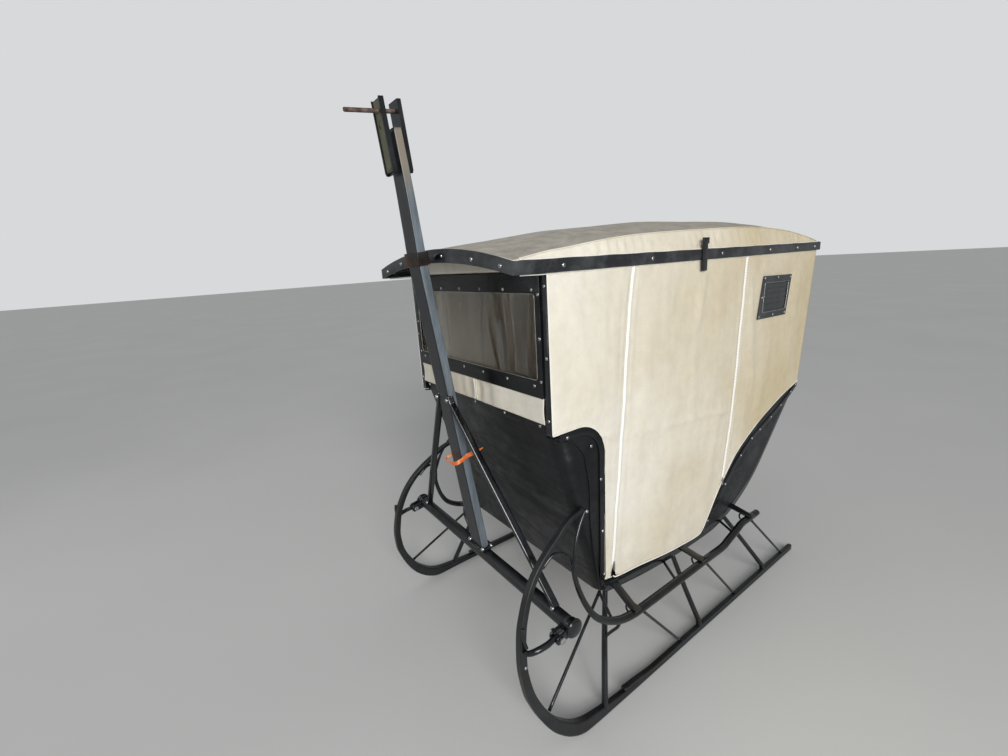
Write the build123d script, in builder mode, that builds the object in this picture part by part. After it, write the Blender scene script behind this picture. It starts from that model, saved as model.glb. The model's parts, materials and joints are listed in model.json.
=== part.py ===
from build123d import *
import os
from math import atan, cos, hypot, radians, sin, tan

# A light horse drawn sleigh with a canvas cab, its T shaped pole swung up against the roof.
# Millimetres. Z is up and Z = 0 is the floor, the front faces -Y, and +X is the sleigh's left.
# Drawn from a datum on the floor, midway between the runners and midway along their flat length.
# Each piece is saved moved along Y, so that the origin comes under the middle of the whole length.

ORIGIN_SHIFT_Y = 35.1

# Runners: bent steel bars that lean inwards as they rise
TRACK = 972
RUNNER_LEAN = 8.0
RUNNER_WIDTH = 26
RUNNER_DEPTH = 30
RUNNER_REAR_Y = 735
NOSE_Y = -888
NOSE_RADIUS = 248
NOSE_TOP_Z = 380
CREST_RADIUS = 285
CREST_SLOPE = 31.0
CREST_DEPTH = 24
TIP_Y = -560
TIP_DEPTH = 14

# Tube bar that doubles each runner behind the bow
DOUBLER_FRONT_Y = -507
DOUBLER_DEPTH = 24
DOUBLER_WIDTH = 24
DOUBLER_END_RADIUS = 9.6

# Side rails above the runners
RAIL_INSET = 2
RAIL_Z = 300
RAIL_RADIUS = 14
RAIL_FACETS = 8
RAIL_TIP_RADIUS = 7
RAIL_REAR_Y = 385
RAIL_LIFT_HEIGHT = 36
RAIL_LIFT_RADIUS = 56
RAIL_LIFT_START_Y = 110
RAIL_LIFT_END_Y = 250
RAIL_BEND_Y = -450
RAIL_BEND_RADIUS = 235
RAIL_CREST_RADIUS = 295
RAIL_CREST_TURN = 50.0
RAIL_LEAN = 10.4

# Body
BODY_INSET = 88
PANEL_THICKNESS = 10
FLOOR_THICKNESS = 12
DASH_TOP_Z = 998
DASH_TOP_Y = -690
DASH_FOOT_Y = -500
DASH_FOOT_Z = 352
DASH_CORNER_RADIUS = 45
DOOR_FRONT_Y = -483
DOOR_ARCH_RADIUS = 110
ARCH_DROP = 30
BELLY_Z = 300
BELLY_FRONT_Y = -160
BELLY_FRONT_RISE = 6
BELLY_REAR_Y = 180
BACK_CURVE_Y = 385
BACK_CURVE_Z = 365
SILL_DEPTH = 36
SILL_WIDTH = 24
BACK_BEND_Y = 560
BACK_BEND_Z = 495
BACK_TOP_Y = 864
BACK_TOP_Z = 823
DOOR_REAR_Y = 90
DOOR_REAR_Z = 346
QUARTER_LOW_Y = 215
QUARTER_LOW_Z = 520
QUARTER_MID_Y = 380
QUARTER_MID_Z = 655
QUARTER_HIGH_Y = 610
QUARTER_HIGH_Z = 755
QUARTER_LAP_HEIGHT = 20

# Cab
CAB_TOP_Z = 1410
ROOF_FRONT_Y = -800
ROOF_REAR_Y = 929
RAIL_FACE_DEPTH = 34
ROOF_RAIL_THICKNESS = 6
ROOF_CREST_RISE = 49
ROOF_SHOULDER_INSET = 48
ROOF_SECTIONS = (
    # share of the roof's length from its front, rise of the shoulder, rise of the crown
    (0.17, 38, 85),
    (0.62, 71, 119),
    (0.82, 55, 106),
)
CANVAS_THICKNESS = 4
TRIM_WIDTH = 24
TRIM_THICKNESS = 4
BOARD_THICKNESS = 12
STRUT_SIZE = 20
ROD_RADIUS = 5
ROD_FACETS = 6
OUTRIGGER_WIDTH = 30
OUTRIGGER_THICKNESS = 8
HOOK_RADIUS = 7
ARCH_RAIL_DEPTH = 40
REAR_LIGHT_WIDTH = 420
REAR_LIGHT_HEIGHT = 190
REAR_LIGHT_RADIUS = 30
REAR_LIGHT_CENTRE_HEIGHT = 410
FLOOR_LIFT_HEIGHT = 12
CURTAIN_SAG_Y = -200
CURTAIN_SAG_Z = 350
POST_SIZE = 25
POST_FRONT_Y = -692
APRON_HEIGHT = 73
HEADER_STRIP_HEIGHT = 17
WINDSCREEN_BORDER_SIDE = 46
WINDSCREEN_BORDER_TOP = 32
WINDSCREEN_BORDER_FOOT = 50
WINDSCREEN_THICKNESS = 6
PANE_THICKNESS = 2
BOW_DEPTH = 14
BOW_WIDTH = 24
BOW_COUNT = 3

# Side curtains: the zips lean back as they rise
CURTAIN_TOP_Z = 1436
CURTAIN_FOOT_Z = 405
ZIP_TOP_Z = 1394
ZIP_FOOT_Z = 409
ZIP_FRONT_TOP_Y = -352
ZIP_FRONT_FOOT_Y = -444
ZIP_REAR_TOP_Y = 309
ZIP_REAR_FOOT_Y = 225
CURTAIN_GAP = 0.4
VENT_LENGTH = 250
VENT_HEIGHT = 173
VENT_CENTRE_Y = 566
VENT_CENTRE_Z = 1237
VENT_FRAME_WIDTH = 16
VENT_SLANT = 9.0
VENT_FRAME_THICKNESS = 5

# Seat
SEAT_FRONT_Y = 120
SEAT_REAR_Y = 530
SEAT_TOP_Z = 700
SEAT_CUSHION_HEIGHT = 90
SEAT_EDGE_RADIUS = 22
SEAT_BACK_TOP_Z = 1130
SEAT_BACK_THICKNESS = 80
SEAT_BACK_EDGE_RADIUS = 20
SEAT_BACK_LEAN = 14.0

# T pole
POLE_LEAN = 5.0
BAR_Y = -715
BAR_Z = 411
BAR_SIZE = 54
BAR_INSET = 18
BAR_WALL_THICKNESS = 4
BAR_CORNER_RADIUS = 8
POLE_WIDTH = 78
POLE_DEPTH = 32
POLE_LENGTH = 1413
BRACE_SIZE = 22
BRACE_INSET = 83
BRACE_HEAD_X = 26
BRACE_TOP_HEIGHT = 622
HINGE_AHEAD_DISTANCE = 50
HINGE_BELOW_DISTANCE = 4
HINGE_PIN_RADIUS = 6
HINGE_EYE_RADIUS = 15
HINGE_EYE_WIDTH = 18
HINGE_EAR_THICKNESS = 8
HINGE_SIDE_GAP = 1
HINGE_INSET = 36
HINGE_BOLT_HEAD_HEIGHT = 6
HINGE_BOLT_TAIL_LENGTH = 2
HINGE_NUT_RADIUS = 10
HOOK_HIGH_Z = 440
HOOK_LOW_Z = 385
STRAP_HEIGHT = 1045
STRAP_WIDTH = 38
STRAP_THICKNESS = 4

# Small irons
BOW_STAY_Y = -822
BOW_STAY_Z = 128
NOSE_ARCH = (
    # distance in from the runner's foot, y, z
    (83, -780, 596),
    (68, -715, 621),
    (49, -684, 557),
)
STRUT_SCROLL = (
    # distance in from the runner's foot, y, z
    (54, -523, 205),
    (40, -485, 262),
    (10, -435, 292),
)
CROSS_BEAM_YS = (-440, -60, 270)
BEAM_WIDTH = 40
BEAM_THICKNESS = 8
HOOK_PLATE_Y = 3
HOOK_PLATE_WIDTH = 30
HOOK_PLATE_LOW_Z = 1373
HOOK_PLATE_HIGH_Z = 1481
HOOK_LIP_Z = 1461
HOOK_PLATE_THICKNESS = 4
KEEPER_X = 50
KEEPER_Z = 1470
KEEPER_LENGTH = 26
KEEPER_WIDTH = 18
KEEPER_THICKNESS = 4
FIT_CLEARANCE = 0.05
CHANNEL_WIDTH = 42
CHANNEL_FLANGE_WIDTH = 25
CHANNEL_WALL_THICKNESS = 4
CHANNEL_LENGTH = 232
CHANNEL_LAP_LENGTH = 162
FORK_PIN_RADIUS = 8
FORK_PIN_SHOULDER_DEPTH = 0.5
FORK_PIN_LENGTH = 156
FORK_PIN_END_DISTANCE = 24
SEAT_GAP = 0.3

SIDES = {"left": 1, "right": -1}
HALF_TRACK = TRACK / 2
body_half = HALF_TRACK - BODY_INSET
rail_x = HALF_TRACK - RAIL_INSET
hinge_x = HALF_TRACK - HINGE_INSET
bar_half = HALF_TRACK - BAR_INSET
door_arch_top = DASH_TOP_Z - ARCH_DROP
windscreen_foot = DASH_TOP_Z + APRON_HEIGHT


def save(name, part):
    """Moves one finished piece to the origin, labels it and writes its STEP file."""
    placed = part.moved(Location((0, ORIGIN_SHIFT_Y, 0)))
    placed.label = name
    export_step(placed, f"parts/{name}.step")


os.makedirs("parts", exist_ok=True)


def leaning_plane(side, x, z, lean):
    """A plane through (side * x, 0, z) whose own x is the sleigh's +Y and whose y climbs inwards."""
    up = (-side * sin(radians(lean)), 0, cos(radians(lean)))
    normal = (up[2], 0, -up[0])
    return Plane(origin=(side * x, 0, z), x_dir=(0, 1, 0), z_dir=normal)


def belly_lines(lift=0):
    """The tub's underside from the dash foot to the top of its back, on a plane of Y and Z."""
    ThreePointArc(
        (DASH_FOOT_Y, DASH_FOOT_Z + lift),
        (BELLY_FRONT_Y, BELLY_Z + BELLY_FRONT_RISE + lift),
        (BELLY_REAR_Y, BELLY_Z + lift),
    )
    ThreePointArc(
        (BELLY_REAR_Y, BELLY_Z + lift),
        (BACK_CURVE_Y, BACK_CURVE_Z + lift),
        (BACK_BEND_Y, BACK_BEND_Z + lift),
    )
    Line((BACK_BEND_Y, BACK_BEND_Z + lift), (BACK_TOP_Y, BACK_TOP_Z + lift))


def belly_band(low, high, front_y, rear_y):
    """The face between two lifts of the belly line, kept from front_y to rear_y."""
    with BuildSketch() as band:
        with BuildLine():
            belly_lines(low)
            belly_lines(high)
            Line((DASH_FOOT_Y, DASH_FOOT_Z + low), (DASH_FOOT_Y, DASH_FOOT_Z + high))
            Line((BACK_TOP_Y, BACK_TOP_Z + low), (BACK_TOP_Y, BACK_TOP_Z + high))
        make_face()
        with Locations(((front_y + rear_y) / 2, DASH_TOP_Z / 2)):
            Rectangle(rear_y - front_y, DASH_TOP_Z, mode=Mode.INTERSECT)
    return band.sketch


def quarter_lines(lap):
    """The rear quarter's edge from the doorway up to the back's top corner, lowered by the lap."""
    ThreePointArc(
        (DOOR_REAR_Y, DOOR_REAR_Z - lap),
        (QUARTER_LOW_Y, QUARTER_LOW_Z - lap),
        (QUARTER_MID_Y, QUARTER_MID_Z - lap),
    )
    ThreePointArc(
        (QUARTER_MID_Y, QUARTER_MID_Z - lap),
        (QUARTER_HIGH_Y, QUARTER_HIGH_Z - lap),
        (BACK_TOP_Y, BACK_TOP_Z - lap),
    )


# Dash: the front sheet with its two side returns up to the doorways
inner_half = body_half - PANEL_THICKNESS
dash_length = hypot(DASH_TOP_Y - DASH_FOOT_Y, DASH_TOP_Z - DASH_FOOT_Z)
dash_up = ((DASH_TOP_Y - DASH_FOOT_Y) / dash_length, (DASH_TOP_Z - DASH_FOOT_Z) / dash_length)
dash_in = (dash_up[1], -dash_up[0])
post_rear_y = POST_FRONT_Y + POST_SIZE
arch_y = DOOR_FRONT_Y - DOOR_ARCH_RADIUS
arch_z = door_arch_top - DOOR_ARCH_RADIUS


def inside_dash(start, along):
    """A point one panel behind the dash's front line, moved along that line."""
    return (
        start[0] + PANEL_THICKNESS * dash_in[0] + along * dash_up[0],
        start[1] + PANEL_THICKNESS * dash_in[1] + along * dash_up[1],
    )


def front_corners(block):
    """The two upright edges at the sides of a dash shaped block."""
    upright = block.edges().filter_by(Axis.X, reverse=True)
    return upright.filter_by(lambda edge: edge.geom_type == GeomType.LINE).sort_by(SortBy.LENGTH)[-2:]


with BuildPart() as dash_room:
    low = inside_dash((DASH_FOOT_Y, DASH_FOOT_Z), -4 * PANEL_THICKNESS)
    high = inside_dash((DASH_TOP_Y, DASH_TOP_Z), 4 * PANEL_THICKNESS)
    behind = DOOR_FRONT_Y + 4 * PANEL_THICKNESS
    with BuildSketch(Plane.YZ):
        Polygon(low, high, (behind, high[1]), (behind, low[1]), align=None)
    extrude(amount=inner_half, both=True)
    slanted = dash_room.edges().filter_by(Axis.X, reverse=True).group_by(Axis.Y)[0]
    fillet(slanted, radius=DASH_CORNER_RADIUS - PANEL_THICKNESS)

with BuildPart() as dash_block:
    with BuildSketch(Plane.YZ):
        with BuildLine():
            Polyline(
                (arch_y, door_arch_top),
                (post_rear_y, door_arch_top),
                (post_rear_y, DASH_TOP_Z),
                (DASH_TOP_Y, DASH_TOP_Z),
                (DASH_FOOT_Y, DASH_FOOT_Z),
                (DOOR_FRONT_Y, DASH_FOOT_Z),
                (DOOR_FRONT_Y, arch_z),
            )
            CenterArc((arch_y, arch_z), DOOR_ARCH_RADIUS, 0, 90)
        make_face()
    extrude(amount=body_half, both=True)
    fillet(front_corners(dash_block), radius=DASH_CORNER_RADIUS)

with BuildPart() as dash:
    add(dash_block.part)
    add(dash_room.part, mode=Mode.SUBTRACT)
save("dash", dash.part)

# The whole tub as one block, for seating what meets it from below
with BuildPart() as tub_block:
    with BuildSketch(Plane.YZ):
        with BuildLine():
            belly_lines()
            Polyline(
                (BACK_TOP_Y, BACK_TOP_Z),
                (BACK_TOP_Y, DASH_TOP_Z),
                (DASH_FOOT_Y, DASH_TOP_Z),
                (DASH_FOOT_Y, DASH_FOOT_Z),
            )
        make_face()
    extrude(amount=body_half, both=True)

# Runner outline on its leaning plane: floor, nose, crest and the tapered tip
nose_inner = NOSE_RADIUS - RUNNER_DEPTH
crest_turn = 90 - CREST_SLOPE
crest_centre = (NOSE_Y + CREST_RADIUS, NOSE_TOP_Z)
crest_inner = CREST_RADIUS - CREST_DEPTH
slope = (cos(radians(CREST_SLOPE)), sin(radians(CREST_SLOPE)))


def on_crest(radius):
    """The end of the crest arc of the given radius."""
    angle = radians(180 - crest_turn)
    return (crest_centre[0] + radius * cos(angle), crest_centre[1] + radius * sin(angle))


crest_end = on_crest(CREST_RADIUS)
tip_run = (TIP_Y - crest_end[0]) / slope[0]
tip_outer = (TIP_Y, crest_end[1] + tip_run * slope[1])
tip_inner = (tip_outer[0] + TIP_DEPTH * slope[1], tip_outer[1] - TIP_DEPTH * slope[0])
floor_allowance = RUNNER_WIDTH * tan(radians(RUNNER_LEAN))

runners = {}
for side_name, side in SIDES.items():
    with BuildPart() as runner:
        with BuildSketch(leaning_plane(side, HALF_TRACK, 0, RUNNER_LEAN)):
            with BuildLine():
                flat_end = (NOSE_Y + NOSE_RADIUS, 0)
                Polyline(
                    (flat_end[0], -floor_allowance),
                    (RUNNER_REAR_Y, -floor_allowance),
                    (RUNNER_REAR_Y, RUNNER_DEPTH),
                    (flat_end[0], RUNNER_DEPTH),
                )
                CenterArc((flat_end[0], NOSE_RADIUS), nose_inner, 180, 90)
                Line((NOSE_Y + RUNNER_DEPTH, NOSE_RADIUS), (crest_centre[0] - crest_inner, NOSE_TOP_Z))
                CenterArc(crest_centre, crest_inner, 180 - crest_turn, crest_turn)
                Line(on_crest(crest_inner), tip_inner)
                Line(tip_inner, tip_outer)
                Line(tip_outer, crest_end)
                CenterArc(crest_centre, CREST_RADIUS, 180 - crest_turn, crest_turn)
                Line((NOSE_Y, NOSE_TOP_Z), (NOSE_Y, NOSE_RADIUS))
                CenterArc((flat_end[0], NOSE_RADIUS), NOSE_RADIUS, 180, 90)
                Line(flat_end, (flat_end[0], -floor_allowance))
            make_face()
        extrude(amount=RUNNER_WIDTH / 2, both=True)
        split(bisect_by=Plane.XY, keep=Keep.TOP)
        add(dash_block.part, mode=Mode.SUBTRACT)
    runners[side_name] = runner
    save(f"runner_{side_name}", runner.part)

with BuildPart() as doublers:
    for side in SIDES.values():
        with BuildSketch(leaning_plane(side, HALF_TRACK, 0, RUNNER_LEAN)):
            with Locations(((DOUBLER_FRONT_Y + RUNNER_REAR_Y) / 2, RUNNER_DEPTH + DOUBLER_DEPTH / 2)):
                Rectangle(RUNNER_REAR_Y - DOUBLER_FRONT_Y, DOUBLER_DEPTH)
        extrude(amount=DOUBLER_WIDTH / 2, both=True)
    ends = doublers.edges().filter_by(Axis.X, tolerance=RUNNER_LEAN + 1).group_by(Axis.Z)[-1]
    fillet(ends, radius=DOUBLER_END_RADIUS)
save("runner_doublers", doublers.part)

# Side rails: level beside the body, lifted at the rear end, swept up and tapered at the front
rails = {}
for side_name, side in SIDES.items():
    rail_plane = leaning_plane(side, rail_x, RAIL_Z, RAIL_LEAN)
    bend_centre = (RAIL_BEND_Y, RAIL_BEND_RADIUS)
    across = rail_plane.z_dir
    rise_centre = (RAIL_BEND_Y - RAIL_BEND_RADIUS + RAIL_CREST_RADIUS, RAIL_BEND_RADIUS)
    with BuildPart() as rail:
        with BuildLine(rail_plane) as level:
            FilletPolyline(
                (RAIL_REAR_Y, RAIL_LIFT_HEIGHT),
                (RAIL_LIFT_END_Y, RAIL_LIFT_HEIGHT),
                (RAIL_LIFT_START_Y, 0),
                (RAIL_BEND_Y, 0),
                radius=RAIL_LIFT_RADIUS,
            )
            CenterArc(bend_centre, RAIL_BEND_RADIUS, 270, -90)
        with BuildSketch(Plane(origin=level.wire() @ 0, x_dir=across, z_dir=level.wire() % 0)):
            RegularPolygon(RAIL_RADIUS, RAIL_FACETS)
        sweep(path=level.wire())
        with BuildLine(rail_plane) as rise:
            CenterArc(rise_centre, RAIL_CREST_RADIUS, 180, -RAIL_CREST_TURN)
        with BuildSketch(Plane(origin=rise.wire() @ 0, x_dir=across, z_dir=rise.wire() % 0)):
            RegularPolygon(RAIL_RADIUS, RAIL_FACETS)
        with BuildSketch(Plane(origin=rise.wire() @ 1, x_dir=across, z_dir=rise.wire() % 1)):
            RegularPolygon(RAIL_TIP_RADIUS, RAIL_FACETS)
        sweep(path=rise.wire(), multisection=True)
        add(dash_block.part, mode=Mode.SUBTRACT)
    rails[side_name] = rail
    save(f"side_rail_{side_name}", rail.part)

# Trim strip round the doorway shoulder, outside each dash return
with BuildPart() as trims:
    for side in SIDES.values():
        with BuildSketch(Plane.YZ.offset(side * (body_half + TRIM_THICKNESS / 2))):
            with BuildLine():
                strip_radius = DOOR_ARCH_RADIUS - TRIM_WIDTH / 2
                Line((post_rear_y, arch_z + strip_radius), (arch_y, arch_z + strip_radius))
                CenterArc((arch_y, arch_z), strip_radius, 0, 90)
                Line((arch_y + strip_radius, arch_z), (arch_y + strip_radius, DASH_FOOT_Z + SILL_DEPTH))
            trace(line_width=TRIM_WIDTH)
        extrude(amount=TRIM_THICKNESS / 2, both=True)
save("doorway_trims", trims.part)

# Sills: the steel rails that carry the tub and run up its back
with BuildPart() as sills:
    for side in SIDES.values():
        with BuildSketch(Plane.YZ.offset(side * (body_half - SILL_WIDTH / 2))):
            add(belly_band(0, SILL_DEPTH, DOOR_FRONT_Y, BACK_TOP_Y))
        extrude(amount=SILL_WIDTH / 2, both=True)
save("sills", sills.part)

between_sills = body_half - SILL_WIDTH
with BuildPart() as tub_floor:
    with BuildSketch(Plane.YZ):
        add(belly_band(FLOOR_LIFT_HEIGHT, FLOOR_LIFT_HEIGHT + FLOOR_THICKNESS, DOOR_FRONT_Y, BELLY_REAR_Y))
    extrude(amount=between_sills, both=True)
save("tub_floor", tub_floor.part)

with BuildPart() as tub_back:
    with BuildSketch(Plane.YZ):
        add(belly_band(FLOOR_LIFT_HEIGHT, FLOOR_LIFT_HEIGHT + FLOOR_THICKNESS, BELLY_REAR_Y, BACK_TOP_Y))
    extrude(amount=between_sills, both=True)
save("tub_back", tub_back.part)

# Quarter panels: the tub's rear sides, on the sills
for side_name, side in SIDES.items():
    with BuildPart() as quarter:
        with BuildSketch(Plane.YZ.offset(side * (body_half - PANEL_THICKNESS / 2))):
            with BuildLine():
                quarter_lines(0)
                Polyline(
                    (DOOR_REAR_Y, DOOR_REAR_Z),
                    (DOOR_REAR_Y, 0),
                    (BACK_TOP_Y, 0),
                    (BACK_TOP_Y, BACK_TOP_Z),
                )
            make_face()
            with BuildLine():
                belly_lines(SILL_DEPTH)
                Polyline(
                    (DASH_FOOT_Y, DASH_FOOT_Z + SILL_DEPTH),
                    (DASH_FOOT_Y, -SILL_DEPTH),
                    (BACK_TOP_Y + PANEL_THICKNESS, -SILL_DEPTH),
                    (BACK_TOP_Y + PANEL_THICKNESS, BACK_TOP_Z + SILL_DEPTH),
                    (BACK_TOP_Y, BACK_TOP_Z + SILL_DEPTH),
                )
            make_face(mode=Mode.SUBTRACT)
        extrude(amount=PANEL_THICKNESS / 2, both=True)
    save(f"quarter_panel_{side_name}", quarter.part)

# Cab frame: posts, top rails and the header over the windscreen
top_rail_low = CAB_TOP_Z + RAIL_FACE_DEPTH - CANVAS_THICKNESS - POST_SIZE
windscreen_top = top_rail_low - HEADER_STRIP_HEIGHT
rear_lean = (ROOF_REAR_Y - BACK_TOP_Y) / (CAB_TOP_Z - BACK_TOP_Z)


def rear_y(z):
    """The cab's rear face at the height z."""
    return BACK_TOP_Y + (z - BACK_TOP_Z) * rear_lean


with BuildPart() as front_posts:
    with BuildSketch(Plane.XY.offset(DASH_TOP_Z)):
        for side in SIDES.values():
            with Locations((side * (body_half - POST_SIZE / 2), POST_FRONT_Y + POST_SIZE / 2)):
                Rectangle(POST_SIZE, POST_SIZE)
    extrude(amount=top_rail_low - DASH_TOP_Z)
save("front_posts", front_posts.part)

with BuildPart() as top_rails:
    with BuildSketch(Plane.XZ.offset(-ROOF_FRONT_Y)):
        for side in SIDES.values():
            with Locations((side * (body_half - POST_SIZE / 2), top_rail_low + POST_SIZE / 2)):
                Rectangle(POST_SIZE, POST_SIZE)
    extrude(amount=ROOF_FRONT_Y - ROOF_REAR_Y)
save("cab_top_rails", top_rails.part)

with BuildPart() as rear_posts:
    foot_z = BACK_TOP_Z + SILL_DEPTH
    for side in SIDES.values():
        with BuildSketch(Plane.YZ.offset(side * (body_half - POST_SIZE / 2))):
            Polygon(
                (rear_y(foot_z) - POST_SIZE, foot_z),
                (rear_y(foot_z), foot_z),
                (rear_y(top_rail_low), top_rail_low),
                (rear_y(top_rail_low) - POST_SIZE, top_rail_low),
                align=None,
            )
        extrude(amount=POST_SIZE / 2, both=True)
save("rear_posts", rear_posts.part)

between_posts = body_half - POST_SIZE
with BuildPart() as header:
    with BuildSketch(Plane.YZ):
        with Locations((POST_FRONT_Y + POST_SIZE / 2, top_rail_low + POST_SIZE / 2)):
            Rectangle(POST_SIZE, POST_SIZE)
    extrude(amount=between_posts, both=True)
save("header", header.part)

# Windscreen: black border round a clear pane, and the canvas strip below it
with BuildPart() as windscreen_border:
    pane_low = windscreen_foot + WINDSCREEN_BORDER_FOOT
    pane_high = windscreen_top - WINDSCREEN_BORDER_TOP
    pane_half = between_posts - WINDSCREEN_BORDER_SIDE
    with BuildSketch(Plane.XZ.offset(-POST_FRONT_Y - WINDSCREEN_THICKNESS)):
        with Locations((0, (windscreen_foot + windscreen_top) / 2)):
            Rectangle(2 * between_posts, windscreen_top - windscreen_foot)
        with Locations((0, (pane_low + pane_high) / 2)):
            Rectangle(2 * pane_half, pane_high - pane_low, mode=Mode.SUBTRACT)
    extrude(amount=WINDSCREEN_THICKNESS)
save("windscreen_border", windscreen_border.part)

with BuildPart() as windscreen_pane:
    with BuildSketch(Plane.XZ.offset(-POST_FRONT_Y - WINDSCREEN_THICKNESS / 2 - PANE_THICKNESS / 2)):
        with Locations((0, (pane_low + pane_high) / 2)):
            Rectangle(2 * pane_half, pane_high - pane_low)
    extrude(amount=PANE_THICKNESS)
save("windscreen_pane", windscreen_pane.part)

for name, low_z, high_z in (
    ("front_apron", DASH_TOP_Z, windscreen_foot),
    ("header_strip", windscreen_top, top_rail_low),
):
    with BuildPart() as strip:
        with BuildSketch(Plane.XZ.offset(-POST_FRONT_Y - WINDSCREEN_THICKNESS)):
            with Locations((0, (low_z + high_z) / 2)):
                Rectangle(2 * between_posts, high_z - low_z)
        extrude(amount=CANVAS_THICKNESS)
    save(name, strip.part)


def zip_y(foot_y, top_y, z):
    """Where a zip runs at the height z."""
    return foot_y + (top_y - foot_y) * (z - ZIP_FOOT_Z) / (ZIP_TOP_Z - ZIP_FOOT_Z)


def zip_side(foot_y, top_y, edge_y, gap):
    """The field between a zip and an upright line well outside the curtain."""
    high_z = 2 * CURTAIN_TOP_Z
    Polygon(
        (zip_y(foot_y, top_y, 0) + gap, 0),
        (zip_y(foot_y, top_y, high_z) + gap, high_z),
        (edge_y, high_z),
        (edge_y, 0),
        align=None,
        mode=Mode.INTERSECT,
    )


def vent_outline(inset, mode):
    """The vent's slanted outline, drawn in by the inset."""
    half_length = VENT_LENGTH / 2 - inset
    half_height = VENT_HEIGHT / 2 - inset
    shift = half_height * tan(radians(VENT_SLANT))
    with Locations((VENT_CENTRE_Y, VENT_CENTRE_Z)):
        Polygon(
            (-half_length - shift, -half_height),
            (half_length - shift, -half_height),
            (half_length + shift, half_height),
            (-half_length + shift, half_height),
            align=None,
            mode=mode,
        )


# The whole canvas side, from the front post to the rear corner and down over the tub
with BuildSketch() as curtain_field:
    with BuildLine():
        quarter_lines(QUARTER_LAP_HEIGHT)
        ThreePointArc(
            (DOOR_FRONT_Y, CURTAIN_FOOT_Z),
            (CURTAIN_SAG_Y, CURTAIN_SAG_Z),
            (DOOR_REAR_Y, DOOR_REAR_Z - QUARTER_LAP_HEIGHT),
        )
        Line((DOOR_FRONT_Y, CURTAIN_FOOT_Z), (DOOR_FRONT_Y, arch_z))
        CenterArc((arch_y, arch_z), DOOR_ARCH_RADIUS, 0, 90)
        Polyline(
            (arch_y, door_arch_top),
            (POST_FRONT_Y, door_arch_top),
            (POST_FRONT_Y, CURTAIN_TOP_Z),
            (rear_y(CURTAIN_TOP_Z), CURTAIN_TOP_Z),
            (BACK_TOP_Y, BACK_TOP_Z - QUARTER_LAP_HEIGHT),
        )
    make_face()

far_front = 2 * ROOF_FRONT_Y
far_rear = 2 * ROOF_REAR_Y
for side_name, side in SIDES.items():
    curtain_plane = Plane.YZ.offset(side * (body_half + SEAT_GAP + CANVAS_THICKNESS / 2))
    with BuildPart() as front_curtain:
        with BuildSketch(curtain_plane):
            add(curtain_field.sketch)
            zip_side(ZIP_FRONT_FOOT_Y, ZIP_FRONT_TOP_Y, far_front, -CURTAIN_GAP / 2)
        extrude(amount=CANVAS_THICKNESS / 2, both=True)
    save(f"front_curtain_{side_name}", front_curtain.part)

    with BuildPart() as door_curtain:
        with BuildSketch(curtain_plane):
            add(curtain_field.sketch)
            zip_side(ZIP_FRONT_FOOT_Y, ZIP_FRONT_TOP_Y, far_rear, CURTAIN_GAP / 2)
            zip_side(ZIP_REAR_FOOT_Y, ZIP_REAR_TOP_Y, far_front, -CURTAIN_GAP / 2)
        extrude(amount=CANVAS_THICKNESS / 2, both=True)
    save(f"door_curtain_{side_name}", door_curtain.part)

    with BuildPart() as rear_side_curtain:
        with BuildSketch(curtain_plane):
            add(curtain_field.sketch)
            zip_side(ZIP_REAR_FOOT_Y, ZIP_REAR_TOP_Y, far_rear, CURTAIN_GAP / 2)
            vent_outline(VENT_FRAME_WIDTH, Mode.SUBTRACT)
        extrude(amount=CANVAS_THICKNESS / 2, both=True)
    save(f"rear_side_curtain_{side_name}", rear_side_curtain.part)

# Vents high in the rear of the side curtains: a raised frame round a mesh panel
vent_frame_x = body_half + SEAT_GAP + CANVAS_THICKNESS + VENT_FRAME_THICKNESS / 2
with BuildPart() as vent_frames:
    for side in SIDES.values():
        with BuildSketch(Plane.YZ.offset(side * vent_frame_x)):
            vent_outline(0, Mode.ADD)
            vent_outline(VENT_FRAME_WIDTH, Mode.SUBTRACT)
        extrude(amount=VENT_FRAME_THICKNESS / 2, both=True)
save("vent_frames", vent_frames.part)

with BuildPart() as vent_panes:
    for side in SIDES.values():
        with BuildSketch(Plane.YZ.offset(side * (body_half + SEAT_GAP + CANVAS_THICKNESS / 2))):
            vent_outline(VENT_FRAME_WIDTH, Mode.ADD)
        extrude(amount=PANE_THICKNESS / 2, both=True)
save("vent_panes", vent_panes.part)

# Rear curtain: canvas over the sloping rear, with a small clear light
roof_rear_y = rear_y(CURTAIN_TOP_Z) + CANVAS_THICKNESS + 2 * SEAT_GAP
rear_plane = Plane(
    origin=(0, BACK_TOP_Y, BACK_TOP_Z),
    x_dir=(1, 0, 0),
    z_dir=(0, -cos(atan(rear_lean)), sin(atan(rear_lean))),
)
rear_height = (CURTAIN_TOP_Z - BACK_TOP_Z) / cos(atan(rear_lean))
with BuildPart() as rear_curtain:
    with BuildSketch(rear_plane.offset(-CANVAS_THICKNESS - SEAT_GAP)):
        with Locations((0, rear_height / 2)):
            Rectangle(2 * body_half, rear_height)
        with Locations((0, REAR_LIGHT_CENTRE_HEIGHT)):
            RectangleRounded(REAR_LIGHT_WIDTH, REAR_LIGHT_HEIGHT, REAR_LIGHT_RADIUS, mode=Mode.SUBTRACT)
    extrude(amount=CANVAS_THICKNESS)
save("rear_curtain", rear_curtain.part)

with BuildPart() as rear_light:
    with BuildSketch(rear_plane.offset(-(CANVAS_THICKNESS + PANE_THICKNESS) / 2 - SEAT_GAP)):
        with Locations((0, REAR_LIGHT_CENTRE_HEIGHT)):
            RectangleRounded(REAR_LIGHT_WIDTH, REAR_LIGHT_HEIGHT, REAR_LIGHT_RADIUS)
    extrude(amount=PANE_THICKNESS)
save("rear_light", rear_light.part)

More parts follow.
